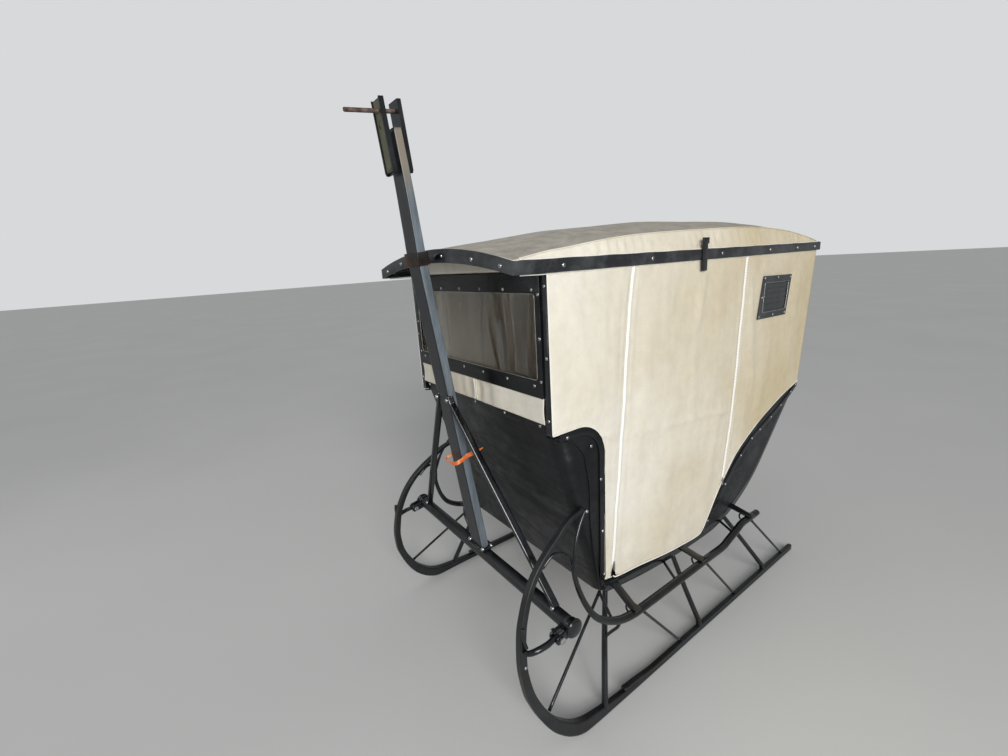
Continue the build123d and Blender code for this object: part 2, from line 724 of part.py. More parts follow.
# Roof canvas: crowned both ways over bows, between arched front and rear edges
roof_edge_z = CAB_TOP_Z + RAIL_FACE_DEPTH - CANVAS_THICKNESS
roof_half = body_half + SEAT_GAP + CANVAS_THICKNESS
end_shoulder_rise = ROOF_CREST_RISE * (1 - ((roof_half - ROOF_SHOULDER_INSET) / roof_half) ** 2)


def roof_section(y, shoulder_rise, crown_rise, shrink):
    """One cross section of the roof, drawn in and lowered by shrink."""
    half = roof_half - shrink
    edge = roof_edge_z - shrink
    shoulder = half - ROOF_SHOULDER_INSET
    left = (-shoulder, edge + shoulder_rise)
    right = (shoulder, edge + shoulder_rise)
    with BuildSketch(Plane.XZ.offset(-y)) as section:
        with BuildLine():
            Polyline(left, (-half, edge), (half, edge), right)
            ThreePointArc(left, (0, edge + crown_rise), right)
        make_face()
    return section.sketch


def roof_sections(shrink, reach):
    """The sections from front to rear under the roof's outer or inner face."""
    span = roof_rear_y - ROOF_FRONT_Y
    between = [
        roof_section(ROOF_FRONT_Y + share * span, shoulder, crown, shrink)
        for share, shoulder, crown in ROOF_SECTIONS
    ]
    front = roof_section(ROOF_FRONT_Y - reach, end_shoulder_rise, ROOF_CREST_RISE, shrink)
    rear = roof_section(roof_rear_y + reach, end_shoulder_rise, ROOF_CREST_RISE, shrink)
    return [front, *between, rear]


with BuildPart() as roof_room:
    loft(roof_sections(CANVAS_THICKNESS, CANVAS_THICKNESS), ruled=True)

with BuildPart() as roof:
    loft(roof_sections(0, 0), ruled=True)
    add(roof_room.part, mode=Mode.SUBTRACT)
save("roof_canvas", roof.part)

# Roof rails outside the canvas: straight at the sides, arched at the ends
rail_outer = roof_half + SEAT_GAP + ROOF_RAIL_THICKNESS
with BuildPart() as roof_side_rails:
    with BuildSketch(Plane.XZ.offset(-ROOF_FRONT_Y)):
        for side in SIDES.values():
            with Locations((side * (rail_outer - ROOF_RAIL_THICKNESS / 2), CAB_TOP_Z + RAIL_FACE_DEPTH / 2)):
                Rectangle(ROOF_RAIL_THICKNESS, RAIL_FACE_DEPTH)
    extrude(amount=ROOF_FRONT_Y - roof_rear_y)
save("roof_side_rails", roof_side_rails.part)

for name, end_y in (("front", ROOF_FRONT_Y - ROOF_RAIL_THICKNESS), ("rear", roof_rear_y)):
    with BuildPart() as arch_rail:
        with BuildSketch(Plane.XZ.offset(-end_y)):
            with BuildLine():
                top = CAB_TOP_Z + RAIL_FACE_DEPTH
                bottom_rise = ROOF_CREST_RISE + RAIL_FACE_DEPTH - ARCH_RAIL_DEPTH
                ThreePointArc((-rail_outer, top), (0, top + ROOF_CREST_RISE), (rail_outer, top))
                ThreePointArc((-rail_outer, CAB_TOP_Z), (0, CAB_TOP_Z + bottom_rise), (rail_outer, CAB_TOP_Z))
                Line((-rail_outer, top), (-rail_outer, CAB_TOP_Z))
                Line((rail_outer, top), (rail_outer, CAB_TOP_Z))
            make_face()
        extrude(amount=-ROOF_RAIL_THICKNESS)
    save(f"roof_{name}_rail", arch_rail.part)

# Bows: hoops under the roof canvas, standing on the top rails
with BuildPart() as bow_void:
    loft(roof_sections(CANVAS_THICKNESS + BOW_DEPTH, 2 * CANVAS_THICKNESS), ruled=True)

with BuildPart() as roof_bows:
    with BuildSketch(Plane.XY.offset(roof_edge_z)):
        for bow in range(BOW_COUNT):
            bow_y = ROOF_FRONT_Y + (bow + 1) * (ROOF_REAR_Y - ROOF_FRONT_Y) / (BOW_COUNT + 1)
            with Locations((0, bow_y)):
                Rectangle(2 * roof_half, BOW_WIDTH)
    extrude(amount=roof_half)
    add(roof_room.part, mode=Mode.INTERSECT)
    add(bow_void.part, mode=Mode.SUBTRACT)
save("roof_bows", roof_bows.part)

# Seat: front board, seat board, cushion, and a leaning back with its own cushion
seat_board_z = SEAT_TOP_Z - SEAT_CUSHION_HEIGHT - SEAT_GAP
seat_half = body_half - SILL_WIDTH - SEAT_GAP
seat_rear = SEAT_REAR_Y + SEAT_BACK_THICKNESS + 2 * BOARD_THICKNESS
with BuildPart() as seat_base:
    with BuildSketch(Plane.YZ):
        Polygon(
            (SEAT_FRONT_Y, seat_board_z),
            (seat_rear, seat_board_z),
            (seat_rear, seat_board_z - BOARD_THICKNESS),
            (SEAT_FRONT_Y + BOARD_THICKNESS, seat_board_z - BOARD_THICKNESS),
            (SEAT_FRONT_Y + BOARD_THICKNESS, 0),
            (SEAT_FRONT_Y, 0),
            align=None,
        )
        floor_top = FLOOR_LIFT_HEIGHT + FLOOR_THICKNESS
        add(belly_band(-DASH_TOP_Z, floor_top, DASH_FOOT_Y, BACK_TOP_Y), mode=Mode.SUBTRACT)
    extrude(amount=seat_half, both=True)
save("seat_base", seat_base.part)

with BuildPart() as seat_cushion:
    with BuildSketch(Plane.XY.offset(seat_board_z + SEAT_GAP)):
        with Locations((0, (SEAT_FRONT_Y + SEAT_REAR_Y) / 2)):
            Rectangle(2 * seat_half, SEAT_REAR_Y - SEAT_FRONT_Y)
    extrude(amount=SEAT_CUSHION_HEIGHT)
    fillet(seat_cushion.edges().group_by(Axis.Z)[-1], radius=SEAT_EDGE_RADIUS)
save("seat_cushion", seat_cushion.part)

seat_back_plane = Plane(
    origin=(0, SEAT_REAR_Y + SEAT_GAP, seat_board_z),
    x_dir=(1, 0, 0),
    z_dir=(0, sin(radians(SEAT_BACK_LEAN)), cos(radians(SEAT_BACK_LEAN))),
)
back_height = SEAT_BACK_TOP_Z - seat_board_z
with BuildPart() as seat_back:
    with BuildSketch(seat_back_plane.offset(-SEAT_BACK_THICKNESS)):
        with Locations((0, SEAT_BACK_THICKNESS / 2)):
            RectangleRounded(2 * seat_half, SEAT_BACK_THICKNESS, SEAT_BACK_EDGE_RADIUS)
    extrude(amount=back_height + SEAT_BACK_THICKNESS)
    split(bisect_by=Plane.XY.offset(seat_board_z + SEAT_GAP), keep=Keep.TOP)
save("seat_back_cushion", seat_back.part)

with BuildPart() as seat_back_board:
    with BuildSketch(seat_back_plane.offset(-SEAT_BACK_THICKNESS)):
        with Locations((0, SEAT_BACK_THICKNESS + SEAT_GAP + BOARD_THICKNESS / 2)):
            Rectangle(2 * seat_half, BOARD_THICKNESS)
    extrude(amount=back_height + SEAT_BACK_THICKNESS)
    split(bisect_by=Plane.XY.offset(seat_board_z), keep=Keep.TOP)
save("seat_back_board", seat_back_board.part)

# Struts: from the sills out and down to the runners
STRUTS = (
    # y and z at the sill, y and z at the runner
    (-470, 370, -585, RUNNER_DEPTH / 2),
    (-88, 306, -47, RUNNER_DEPTH + DOUBLER_DEPTH / 2),
    (270, 334, 462, RUNNER_DEPTH + DOUBLER_DEPTH / 2),
)
with BuildPart() as struts:
    for side in SIDES.values():
        for sill_y, sill_z, foot_y, foot_z in STRUTS:
            start = Vector(side * (body_half - SILL_WIDTH / 2), sill_y, sill_z)
            foot_x = HALF_TRACK - foot_z * tan(radians(RUNNER_LEAN))
            run = Vector(side * foot_x, foot_y, foot_z) - start
            with BuildSketch(Plane(origin=start, x_dir=Vector(0, 1, 0).cross(run), z_dir=run)):
                Rectangle(STRUT_SIZE, STRUT_SIZE)
            extrude(amount=run.length)
    add(tub_block.part, mode=Mode.SUBTRACT)
    add(dash_block.part, mode=Mode.SUBTRACT)
    add(doublers.part, mode=Mode.SUBTRACT)
    for runner in runners.values():
        add(runner.part, mode=Mode.SUBTRACT)
save("struts", struts.part)

# Outriggers: flat brackets from each sill out to the side rail
OUTRIGGERS = (
    # sill y, height at the sill, height of the rail's top
    (-435, 355, RAIL_Z + RAIL_RADIUS),
    (-50, 322, RAIL_Z + RAIL_RADIUS),
    (310, 362, RAIL_Z + RAIL_LIFT_HEIGHT + RAIL_RADIUS),
)
with BuildPart() as outriggers:
    for side in SIDES.values():
        for bracket_y, sill_z, rail_z in OUTRIGGERS:
            with BuildSketch(Plane.XZ.offset(-bracket_y)):
                rise = rail_z + SEAT_GAP
                Polygon(
                    (side * body_half, sill_z),
                    (side * (rail_x - RAIL_RADIUS), rise),
                    (side * (rail_x + RAIL_RADIUS), rise),
                    (side * (rail_x + RAIL_RADIUS), rise + OUTRIGGER_THICKNESS),
                    (side * (rail_x - RAIL_RADIUS), rise + OUTRIGGER_THICKNESS),
                    (side * body_half, sill_z + OUTRIGGER_THICKNESS),
                    align=None,
                )
            extrude(amount=OUTRIGGER_WIDTH / 2, both=True)
save("outriggers", outriggers.part)

# Thin round stays: rail to runner, sill to runner bow, and the scroll from strut to rail
STAYS = (
    # y and z on the rail, y on the runner
    (-400, RAIL_Z, -171),
    (-20, RAIL_Z, 215),
    (330, RAIL_Z + RAIL_LIFT_HEIGHT, 640),
)
with BuildPart() as stays:
    for side in SIDES.values():
        runs = []
        for top_y, top_z, foot_y in STAYS:
            foot_z = RUNNER_DEPTH + DOUBLER_DEPTH / 2
            foot_x = HALF_TRACK - foot_z * tan(radians(RUNNER_LEAN))
            runs.append(((rail_x, top_y, top_z), (foot_x, foot_y, foot_z)))
        bow_z = BOW_STAY_Z
        bow_x = HALF_TRACK - bow_z * tan(radians(RUNNER_LEAN))
        sill_end = (body_half - SILL_WIDTH / 2, DASH_FOOT_Y, DASH_FOOT_Z + PANEL_THICKNESS)
        runs.append((sill_end, (bow_x, BOW_STAY_Y, bow_z)))
        for top, foot in runs:
            start = Vector(side * top[0], top[1], top[2])
            run = Vector(side * foot[0], foot[1], foot[2]) - start
            with BuildSketch(Plane(origin=start, z_dir=run)):
                RegularPolygon(ROD_RADIUS, ROD_FACETS)
            extrude(amount=run.length)
        for curve in (NOSE_ARCH, STRUT_SCROLL):
            with BuildLine() as path:
                ThreePointArc(*[(side * (HALF_TRACK - inset), y, z) for inset, y, z in curve])
            with BuildSketch(Plane(origin=path.wire() @ 0, z_dir=path.wire() % 0)):
                RegularPolygon(ROD_RADIUS, ROD_FACETS)
            sweep(path=path.wire())
    met = (dash_block, tub_block, sills, doublers, struts, outriggers, *runners.values(), *rails.values())
    for neighbour in met:
        add(neighbour.part, mode=Mode.SUBTRACT)
save("stays", stays.part)

# Cross beams under the floor, from sill to sill
with BuildPart() as beams:
    for beam_y in CROSS_BEAM_YS:
        beam_low = FLOOR_LIFT_HEIGHT - BEAM_THICKNESS
        beam_front = beam_y - BEAM_WIDTH / 2
        with BuildSketch(Plane.YZ):
            add(belly_band(beam_low, FLOOR_LIFT_HEIGHT, beam_front, beam_front + BEAM_WIDTH))
        extrude(amount=between_sills, both=True)
save("cross_beams", beams.part)

# Hook plates on the roof's side rails, and the keeper for the pole's strap on its front rail
with BuildPart() as hooks:
    for side in SIDES.values():
        for step, low_z in enumerate((HOOK_PLATE_LOW_Z, HOOK_LIP_Z)):
            hook_x = side * (rail_outer + (step + 0.5) * HOOK_PLATE_THICKNESS)
            with BuildSketch(Plane.YZ.offset(hook_x)):
                with Locations((HOOK_PLATE_Y, (low_z + HOOK_PLATE_HIGH_Z) / 2)):
                    Rectangle(HOOK_PLATE_WIDTH, HOOK_PLATE_HIGH_Z - low_z)
            extrude(amount=HOOK_PLATE_THICKNESS / 2, both=True)
save("roof_hooks", hooks.part)

with BuildPart() as keeper:
    with BuildSketch(Plane.XZ.offset(ROOF_RAIL_THICKNESS - ROOF_FRONT_Y)):
        with Locations((KEEPER_X, KEEPER_Z)):
            SlotCenterToCenter(KEEPER_LENGTH, KEEPER_WIDTH)
    extrude(amount=KEEPER_THICKNESS)
save("strap_keeper", keeper.part)

# T pole: its own plane stands on the crossbar's axis and leans forward with the pole
lean = radians(POLE_LEAN)
pole_plane = Plane(origin=(0, BAR_Y, BAR_Z), x_dir=(1, 0, 0), z_dir=(0, -sin(lean), cos(lean)))
across = Plane(origin=pole_plane.origin, x_dir=pole_plane.y_dir, z_dir=(1, 0, 0))
pole_near = -BAR_SIZE / 2
pole_centre = pole_near - POLE_DEPTH / 2

with BuildPart() as crossbar:
    with BuildSketch(across):
        RectangleRounded(BAR_SIZE, BAR_SIZE, BAR_CORNER_RADIUS)
        bar_bore = BAR_SIZE - 2 * BAR_WALL_THICKNESS
        RectangleRounded(bar_bore, bar_bore, BAR_CORNER_RADIUS - BAR_WALL_THICKNESS, mode=Mode.SUBTRACT)
    extrude(amount=bar_half, both=True)
save("crossbar", crossbar.part)

with BuildPart() as bar_caps:
    for side in SIDES.values():
        with BuildSketch(across.offset(side * (bar_half + BAR_WALL_THICKNESS))):
            Circle(BAR_SIZE / 2)
        extrude(amount=BAR_WALL_THICKNESS, both=True)
save("crossbar_caps", bar_caps.part)

with BuildPart() as pole:
    with BuildSketch(pole_plane.offset(-BAR_SIZE / 2)):
        with Locations((0, pole_centre)):
            RectangleRounded(POLE_WIDTH, POLE_DEPTH, BAR_WALL_THICKNESS)
    extrude(amount=POLE_LENGTH + BAR_SIZE / 2)
save("pole", pole.part)

# Diagonal braces from the crossbar up to the pole
with BuildPart() as braces:
    for side in SIDES.values():
        foot = pole_plane.from_local_coords((side * (HALF_TRACK - BRACE_INSET), 0, 0))
        head = pole_plane.from_local_coords((side * BRACE_HEAD_X, pole_centre, BRACE_TOP_HEIGHT))
        run = head - foot
        with BuildSketch(Plane(origin=foot, x_dir=pole_plane.y_dir.cross(run), z_dir=run)):
            Rectangle(BRACE_SIZE, BRACE_SIZE)
        extrude(amount=run.length)
    add(crossbar.part, mode=Mode.SUBTRACT)
    add(pole.part, mode=Mode.SUBTRACT)
    with BuildSketch(pole_plane.offset(BAR_SIZE / 2 - BAR_SIZE)):
        Rectangle(2 * bar_half, 2 * BAR_SIZE)
    extrude(amount=BAR_SIZE, mode=Mode.SUBTRACT)
save("pole_braces", braces.part)

# Hinges: ears ahead of the crossbar, a bolt, and the eye of each runner's bent iron
hinge_local = (0, -HINGE_AHEAD_DISTANCE, -HINGE_BELOW_DISTANCE)
hinge = pole_plane.from_local_coords(hinge_local)
ear_inner = HINGE_EYE_WIDTH / 2 + HINGE_SIDE_GAP
pin_half = ear_inner + HINGE_EAR_THICKNESS
hinge_plane = Plane(origin=hinge, z_dir=(1, 0, 0))
with BuildPart() as ears:
    for side in SIDES.values():
        for step in (-1, 1):
            centre = side * hinge_x + step * (ear_inner + HINGE_EAR_THICKNESS / 2)
            with BuildSketch(across.offset(centre)):
                with Locations((-HINGE_AHEAD_DISTANCE, -HINGE_BELOW_DISTANCE)):
                    Circle(HINGE_EYE_RADIUS)
                reach = HINGE_AHEAD_DISTANCE + pole_near
                with Locations((pole_near - reach / 2, -HINGE_BELOW_DISTANCE)):
                    Rectangle(reach, 2 * HINGE_EYE_RADIUS)
                with Locations((-HINGE_AHEAD_DISTANCE, -HINGE_BELOW_DISTANCE)):
                    Circle(HINGE_PIN_RADIUS + FIT_CLEARANCE, mode=Mode.SUBTRACT)
            extrude(amount=HINGE_EAR_THICKNESS / 2, both=True)
save("hinge_ears", ears.part)

with BuildPart() as bolts:
    for side in SIDES.values():
        with BuildSketch(hinge_plane.offset(side * hinge_x)):
            Circle(HINGE_PIN_RADIUS)
        extrude(amount=pin_half + HINGE_BOLT_HEAD_HEIGHT + HINGE_BOLT_TAIL_LENGTH, both=True)
        for step in (-1, 1):
            with BuildSketch(hinge_plane.offset(side * hinge_x + step * pin_half)):
                RegularPolygon(HINGE_NUT_RADIUS, 6)
            extrude(amount=step * HINGE_BOLT_HEAD_HEIGHT)
save("hinge_bolts", bolts.part)

for side_name, side in SIDES.items():
    with BuildPart() as iron:
        with BuildSketch(hinge_plane.offset(side * hinge_x)):
            Circle(HINGE_EYE_RADIUS)
        extrude(amount=HINGE_EYE_WIDTH / 2, both=True)
        for foot_z in (HOOK_HIGH_Z, HOOK_LOW_Z):
            runner_x = side * (HALF_TRACK - foot_z * tan(radians(RUNNER_LEAN)))
            knee_x = (side * hinge_x + runner_x) / 2
            knee_y = (NOSE_Y + RUNNER_DEPTH + hinge.Y) / 2 - HOOK_RADIUS
            knee_z = (foot_z + hinge.Z) / 2 - HOOK_RADIUS
            with BuildLine() as leg:
                FilletPolyline(
                    (runner_x, NOSE_Y + RUNNER_DEPTH / 2, foot_z),
                    (knee_x, knee_y, knee_z),
                    (side * hinge_x, hinge.Y - HINGE_EYE_RADIUS / 2, hinge.Z),
                    radius=HOOK_RADIUS,
                )
            with BuildSketch(Plane(origin=leg.wire() @ 0, z_dir=leg.wire() % 0)):
                RegularPolygon(HOOK_RADIUS, ROD_FACETS)
            sweep(path=leg.wire())
        with BuildSketch(hinge_plane.offset(side * hinge_x)):
            Circle(HINGE_PIN_RADIUS + FIT_CLEARANCE)
        extrude(amount=HINGE_EYE_WIDTH, both=True, mode=Mode.SUBTRACT)
        add(runners[side_name].part, mode=Mode.SUBTRACT)
    largest = iron.part.solids().sort_by(SortBy.VOLUME)[-1]
    save(f"hinge_iron_{side_name}", Part(largest.wrapped))

# Fork at the pole's end: two channels back to back with the pole between them, and a loose pin
pin_height = POLE_LENGTH - CHANNEL_LAP_LENGTH + CHANNEL_LENGTH - FORK_PIN_END_DISTANCE
with BuildPart() as channels:
    with BuildSketch(pole_plane.offset(POLE_LENGTH - CHANNEL_LAP_LENGTH)):
        for web_y, out in ((pole_near - POLE_DEPTH, -1), (pole_near, 1)):
            with Locations((0, web_y + out * CHANNEL_FLANGE_WIDTH / 2)):
                Rectangle(CHANNEL_WIDTH, CHANNEL_FLANGE_WIDTH)
            with Locations((0, web_y + out * (CHANNEL_FLANGE_WIDTH + CHANNEL_WALL_THICKNESS) / 2)):
                inner_width = CHANNEL_WIDTH - 2 * CHANNEL_WALL_THICKNESS
                Rectangle(inner_width, CHANNEL_FLANGE_WIDTH - CHANNEL_WALL_THICKNESS, mode=Mode.SUBTRACT)
    extrude(amount=CHANNEL_LENGTH)
    with BuildSketch(Plane(origin=pole_plane.from_local_coords((0, 0, pin_height)), z_dir=pole_plane.y_dir)):
        Circle(FORK_PIN_RADIUS - FORK_PIN_SHOULDER_DEPTH + FIT_CLEARANCE)
    extrude(amount=2 * BAR_SIZE + POLE_DEPTH, both=True, mode=Mode.SUBTRACT)
save("fork_channels", channels.part)

with BuildPart() as fork_pin:
    rear_end = pole_plane.from_local_coords((0, pole_near + CHANNEL_FLANGE_WIDTH / 2, pin_height))
    inside = CHANNEL_FLANGE_WIDTH / 2 + POLE_DEPTH + CHANNEL_FLANGE_WIDTH
    with BuildSketch(Plane(origin=rear_end, z_dir=pole_plane.y_dir)):
        Circle(FORK_PIN_RADIUS - FORK_PIN_SHOULDER_DEPTH)
    extrude(amount=-inside)
    with BuildSketch(Plane(origin=rear_end, z_dir=pole_plane.y_dir).offset(-inside)):
        Circle(FORK_PIN_RADIUS)
    extrude(amount=inside - FORK_PIN_LENGTH)
save("fork_pin", fork_pin.part)

# Strap round the pole where it rests against the roof's front rail
with BuildPart() as strap:
    with BuildSketch(pole_plane.offset(STRAP_HEIGHT)):
        with Locations((0, pole_centre)):
            strap_width = POLE_WIDTH + 2 * STRAP_THICKNESS
            strap_depth = POLE_DEPTH + 2 * STRAP_THICKNESS
            RectangleRounded(strap_width, strap_depth, STRAP_THICKNESS)
            Rectangle(POLE_WIDTH, POLE_DEPTH, mode=Mode.SUBTRACT)
    extrude(amount=STRAP_WIDTH)
save("pole_strap", strap.part)
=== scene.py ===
"""Dresses a light horse drawn sleigh: canvas cab, black tub, steel runners and a T pole swung up to the
roof.

Lengths in the tables are millimetres from the drawing's datum: the floor, midway between the runners and
midway along their flat. Left is the side with X above 0.
"""

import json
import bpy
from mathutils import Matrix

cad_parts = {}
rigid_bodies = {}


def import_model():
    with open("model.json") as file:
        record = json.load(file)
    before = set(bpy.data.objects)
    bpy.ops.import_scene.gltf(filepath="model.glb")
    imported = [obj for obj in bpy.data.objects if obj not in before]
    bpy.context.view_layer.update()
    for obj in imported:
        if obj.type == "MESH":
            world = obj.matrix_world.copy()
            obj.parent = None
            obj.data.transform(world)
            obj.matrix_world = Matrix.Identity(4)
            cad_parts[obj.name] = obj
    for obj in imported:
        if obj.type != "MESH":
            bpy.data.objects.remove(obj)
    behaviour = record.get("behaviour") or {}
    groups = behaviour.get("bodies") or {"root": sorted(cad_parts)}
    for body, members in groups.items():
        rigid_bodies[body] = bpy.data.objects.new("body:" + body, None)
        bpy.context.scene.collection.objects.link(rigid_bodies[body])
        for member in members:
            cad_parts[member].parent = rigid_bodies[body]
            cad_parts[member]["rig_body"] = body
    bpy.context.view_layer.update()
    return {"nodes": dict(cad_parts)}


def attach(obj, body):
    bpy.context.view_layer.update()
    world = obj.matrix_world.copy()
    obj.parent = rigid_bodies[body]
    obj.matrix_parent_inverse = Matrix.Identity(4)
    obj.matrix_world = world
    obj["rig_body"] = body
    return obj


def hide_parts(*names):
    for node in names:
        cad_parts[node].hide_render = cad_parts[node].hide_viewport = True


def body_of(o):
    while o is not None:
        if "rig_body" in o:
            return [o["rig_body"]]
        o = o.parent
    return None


bl_info = {
    "name": "Horse Drawn Sleigh",
    "version": (1, 0, 0),
    "blender": (4, 5, 0),
    "location": "View3D > Sidebar > Sleigh",
    "description": "Canvas, zips, fastenings, irons and finishes of a covered horse drawn sleigh",
    "category": "Object",
}

import bmesh
import bpy
import numpy as np
from mathutils import Vector

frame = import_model()
SHIFT_Y = 35.1
SIDES = {"left": 1.0, "right": -1.0}
CANVAS_X = 399.2
CANVAS_TOP = 1436.0


def linear(code):
    """An sRGB hex colour as linear red, green, blue and a full alpha."""
    parts = np.array([int(code[i : i + 2], 16) / 255 for i in (0, 2, 4)])
    light = np.where(parts <= 0.04045, parts / 12.92, ((parts + 0.055) / 1.055) ** 2.4)
    return (*light.tolist(), 1.0)


def colour(label, code, text):
    """A colour setting in the sidebar."""
    return bpy.props.FloatVectorProperty(
        name=label, description=text, subtype="COLOR", size=4, min=0, max=1, default=linear(code)
    )


def length(label, value, text):
    """A length setting in the sidebar, in metres."""
    return bpy.props.FloatProperty(name=label, description=text, unit="LENGTH", default=value, min=0)


class SleighCloth(bpy.types.PropertyGroup):
    """Sizes and colours of the canvas and the coated fabrics"""

    light: colour("Canvas light", "E4DFD2", "Canvas where it is cleanest")
    # deep is also the colour the canvas takes towards the rear, where shade is painted on it
    deep: colour("Canvas deep", "C6B796", "Canvas where it has yellowed")
    # the roof's dust colour also paints the shade on the roof's top
    hem: colour("Hem", "F2F0E8", "Bound edges of the canvas")
    dust: colour("Roof dust", "7C766A", "Dust on the top of the roof")
    black: colour("Coated fabric", "0C0D0F", "Black coated fabric on the tub")
    dusty: colour("Dust on black", "17191B", "Dust that lies on the black fabric")
    zip: colour("Zip", "FAF9F4", "Zip teeth and tape")
    twine: colour("Twine", "E06A22", "Flat plastic twine tied to the pole")
    thickness: length("Canvas thickness", 0.0016, "How thick the canvas is")
    swell: length("Swell", 0.005, "How far a canvas field stands off its frame at its middle")


class SleighIrons(bpy.types.PropertyGroup):
    """Colours of the painted and bare steel"""

    paint: colour("Black paint", "0A0B0D", "Brushed black enamel")
    scuffed: colour("Scuffed paint", "23272B", "Enamel where it has been rubbed grey")
    rust: colour("Rust", "4A2D1E", "Rust in the chips")
    bright: colour("Bright plating", "D6D7D8", "Zinc plating of screws and sliders")


class SleighStage(bpy.types.PropertyGroup):
    """The floor, the light and the camera's lens"""

    floor: colour("Floor", "C8C8C6", "The pale floor")
    sky: colour("Surround", "E6E8EA", "The colour behind the floor")
    soft: bpy.props.FloatProperty(
        name="Soft light", description="Strength of the light all round", default=0.47
    )
    key: bpy.props.FloatProperty(
        name="Key lamp", description="Power of the main lamp", default=150, subtype="POWER"
    )
    lens: bpy.props.FloatProperty(name="Lens", description="Focal length in millimetres", default=16.097429)


# Nodes and finishes


def add(tree, kind, inputs=None, stops=None, **settings):
    """Adds one shader node, sets its own properties and colour stops, and gives each input a value or a
    link."""
    made = tree.nodes.new("ShaderNode" + kind)
    for key, value in settings.items():
        setattr(made, key, value)
    for place, stop in enumerate(stops or ()):
        marks = made.color_ramp.elements
        mark = marks[place] if place < len(marks) else marks.new(stop[0])
        mark.position, mark.color = stop[0], stop[1] if len(stop) == 2 else (*stop[1:], 1)
    for key, value in (inputs or {}).items():
        value = value.outputs[0] if isinstance(value, bpy.types.Node) else value
        if isinstance(value, bpy.types.NodeSocket):
            tree.links.new(value, made.inputs[key])
        else:
            made.inputs[key].default_value = value
    return made


def grey(value):
    """One number as a grey colour, or as the value of a colour stop."""
    return (value, value, value, 1)


def finish(name, **sockets):
    """A new material with its tree and shader; the sockets given are set on the shader itself."""
    made = bpy.data.materials.new(name)
    made.use_nodes = True
    shader = made.node_tree.nodes["Principled BSDF"]
    for key, value in sockets.items():
        shader.inputs[key.replace("_", " ")].default_value = value
    return made, made.node_tree, shader


def lead(tree, shader, **sockets):
    """Links outputs to the shader: Base_Color, Roughness, Normal and so on."""
    for key, value in sockets.items():
        value = value.outputs[0] if isinstance(value, bpy.types.Node) else value
        tree.links.new(value, shader.inputs[key.replace("_", " ")])


def bands(spacing):
    """The scale at which a wave's bands lie spacing metres apart: a full turn over twenty times the
    spacing."""
    return 2 * np.pi / (20 * spacing)


def cotton_duck(name="proofed_cotton_duck", dusted=False, plain=False):
    """Woven cotton proofed with wax: dry and matt, plain weave, slightly yellow in broad patches, faint
    run marks, and thin enough that some daylight comes through. Its colour also darkens towards the rear:
    painted shade, where the light falls off. The roof's cloth is grey above its shoulders, with dust and
    with painted shade on the faces that look up.

    Threads are 0.8 mm apart on the cloth and drawn 4.3 mm apart, or they would not show.
    """
    cloth = bpy.context.scene.sleigh_cloth
    made, tree, shader = finish(
        name, Roughness=0.9, IOR=1.47, Sheen_Weight=0.1, Sheen_Roughness=0.45, Subsurface_Weight=0.4,
        Subsurface_Scale=0.003,
    )
    shader.inputs["Subsurface Radius"].default_value = (1.0, 0.94, 0.84)
    where = add(tree, "TexCoord")
    place, cut = where.outputs["Object"], where.outputs["UV"]
    broad = add(tree, "TexNoise", {"Vector": place, "Scale": 2.0, "Detail": 3.0, "Roughness": 0.5})
    along = add(tree, "SeparateXYZ", {"Vector": place})
    # painted shade: the canvas darkens and yellows towards the rear, where the light falls off
    rear_shade = add(
        tree,
        "MapRange",
        {"Value": along.outputs["Y"], "From Min": -0.6, "From Max": 0.9, "To Min": -0.1, "To Max": 0.5},
    )
    blend = add(tree, "Math", {0: broad, 1: rear_shade}, operation="ADD")
    low, high = (cloth.hem, cloth.light) if plain else (cloth.light, cloth.deep)
    base = add(tree, "ValToRGB", {"Fac": blend}, [(0.34, low), (1.0, high)])
    spots = add(tree, "TexNoise", {"Vector": place, "Scale": 22.0, "Detail": 6.0, "Roughness": 0.68})
    specks = add(tree, "ValToRGB", {"Fac": spots}, [(0.3, grey(0.9)), (0.62, grey(1.0))])
    tinted = add(tree, "MixRGB", {"Fac": 1.0, "Color1": base, "Color2": specks}, blend_type="MULTIPLY")
    run = add(tree, "Mapping", {"Vector": place, "Scale": (26.0, 26.0, 2.0)})
    streak = add(tree, "TexNoise", {"Vector": run, "Scale": 1.0, "Detail": 4.0, "Roughness": 0.6})
    rain = add(tree, "ValToRGB", {"Fac": streak}, [(0.35, grey(0.95)), (0.6, grey(1.0))])
    washed = add(tree, "MixRGB", {"Fac": 0.8, "Color1": tinted, "Color2": rain}, blend_type="MULTIPLY")
    # dust on the roof, with painted shade: faces that look up are greyed towards the dust colour
    if dusted:
        facing = add(tree, "SeparateXYZ", {"Vector": add(tree, "NewGeometry").outputs["Normal"]})
        above = add(tree, "MapRange", {"Value": facing.outputs["Z"], "From Min": 0.75, "From Max": 0.95})
        patchy_dust_and_shade = add(tree, "Math", {0: above, 1: spots, 2: 0.3}, operation="MULTIPLY_ADD")
        dust_and_top_shade = add(tree, "Math", {0: above, 1: patchy_dust_and_shade}, operation="MULTIPLY")
        washed = add(tree, "MixRGB", {"Fac": dust_and_top_shade, "Color1": washed, "Color2": cloth.dust})
    warp = add(
        tree,
        "TexWave",
        {"Vector": cut, "Scale": bands(0.004343), "Distortion": 0.6, "Detail Scale": 2.0},
        bands_direction="X",
    )
    weft = add(
        tree,
        "TexWave",
        {"Vector": cut, "Scale": bands(0.004343), "Distortion": 0.6, "Detail Scale": 2.0},
        bands_direction="Y",
    )
    weave = add(tree, "Math", {0: warp.outputs["Fac"], 1: weft.outputs["Fac"]}, operation="MULTIPLY")
    slack = add(tree, "TexNoise", {"Vector": place, "Scale": 11.0, "Detail": 3.0, "Roughness": 0.5})
    high = add(tree, "Math", {0: weave, 1: 0.12, 2: slack}, operation="MULTIPLY_ADD")
    soft = add(tree, "Bump", {"Height": high, "Distance": 0.002, "Strength": 0.8})
    lead(tree, shader, Base_Color=washed, Normal=soft)
    return made


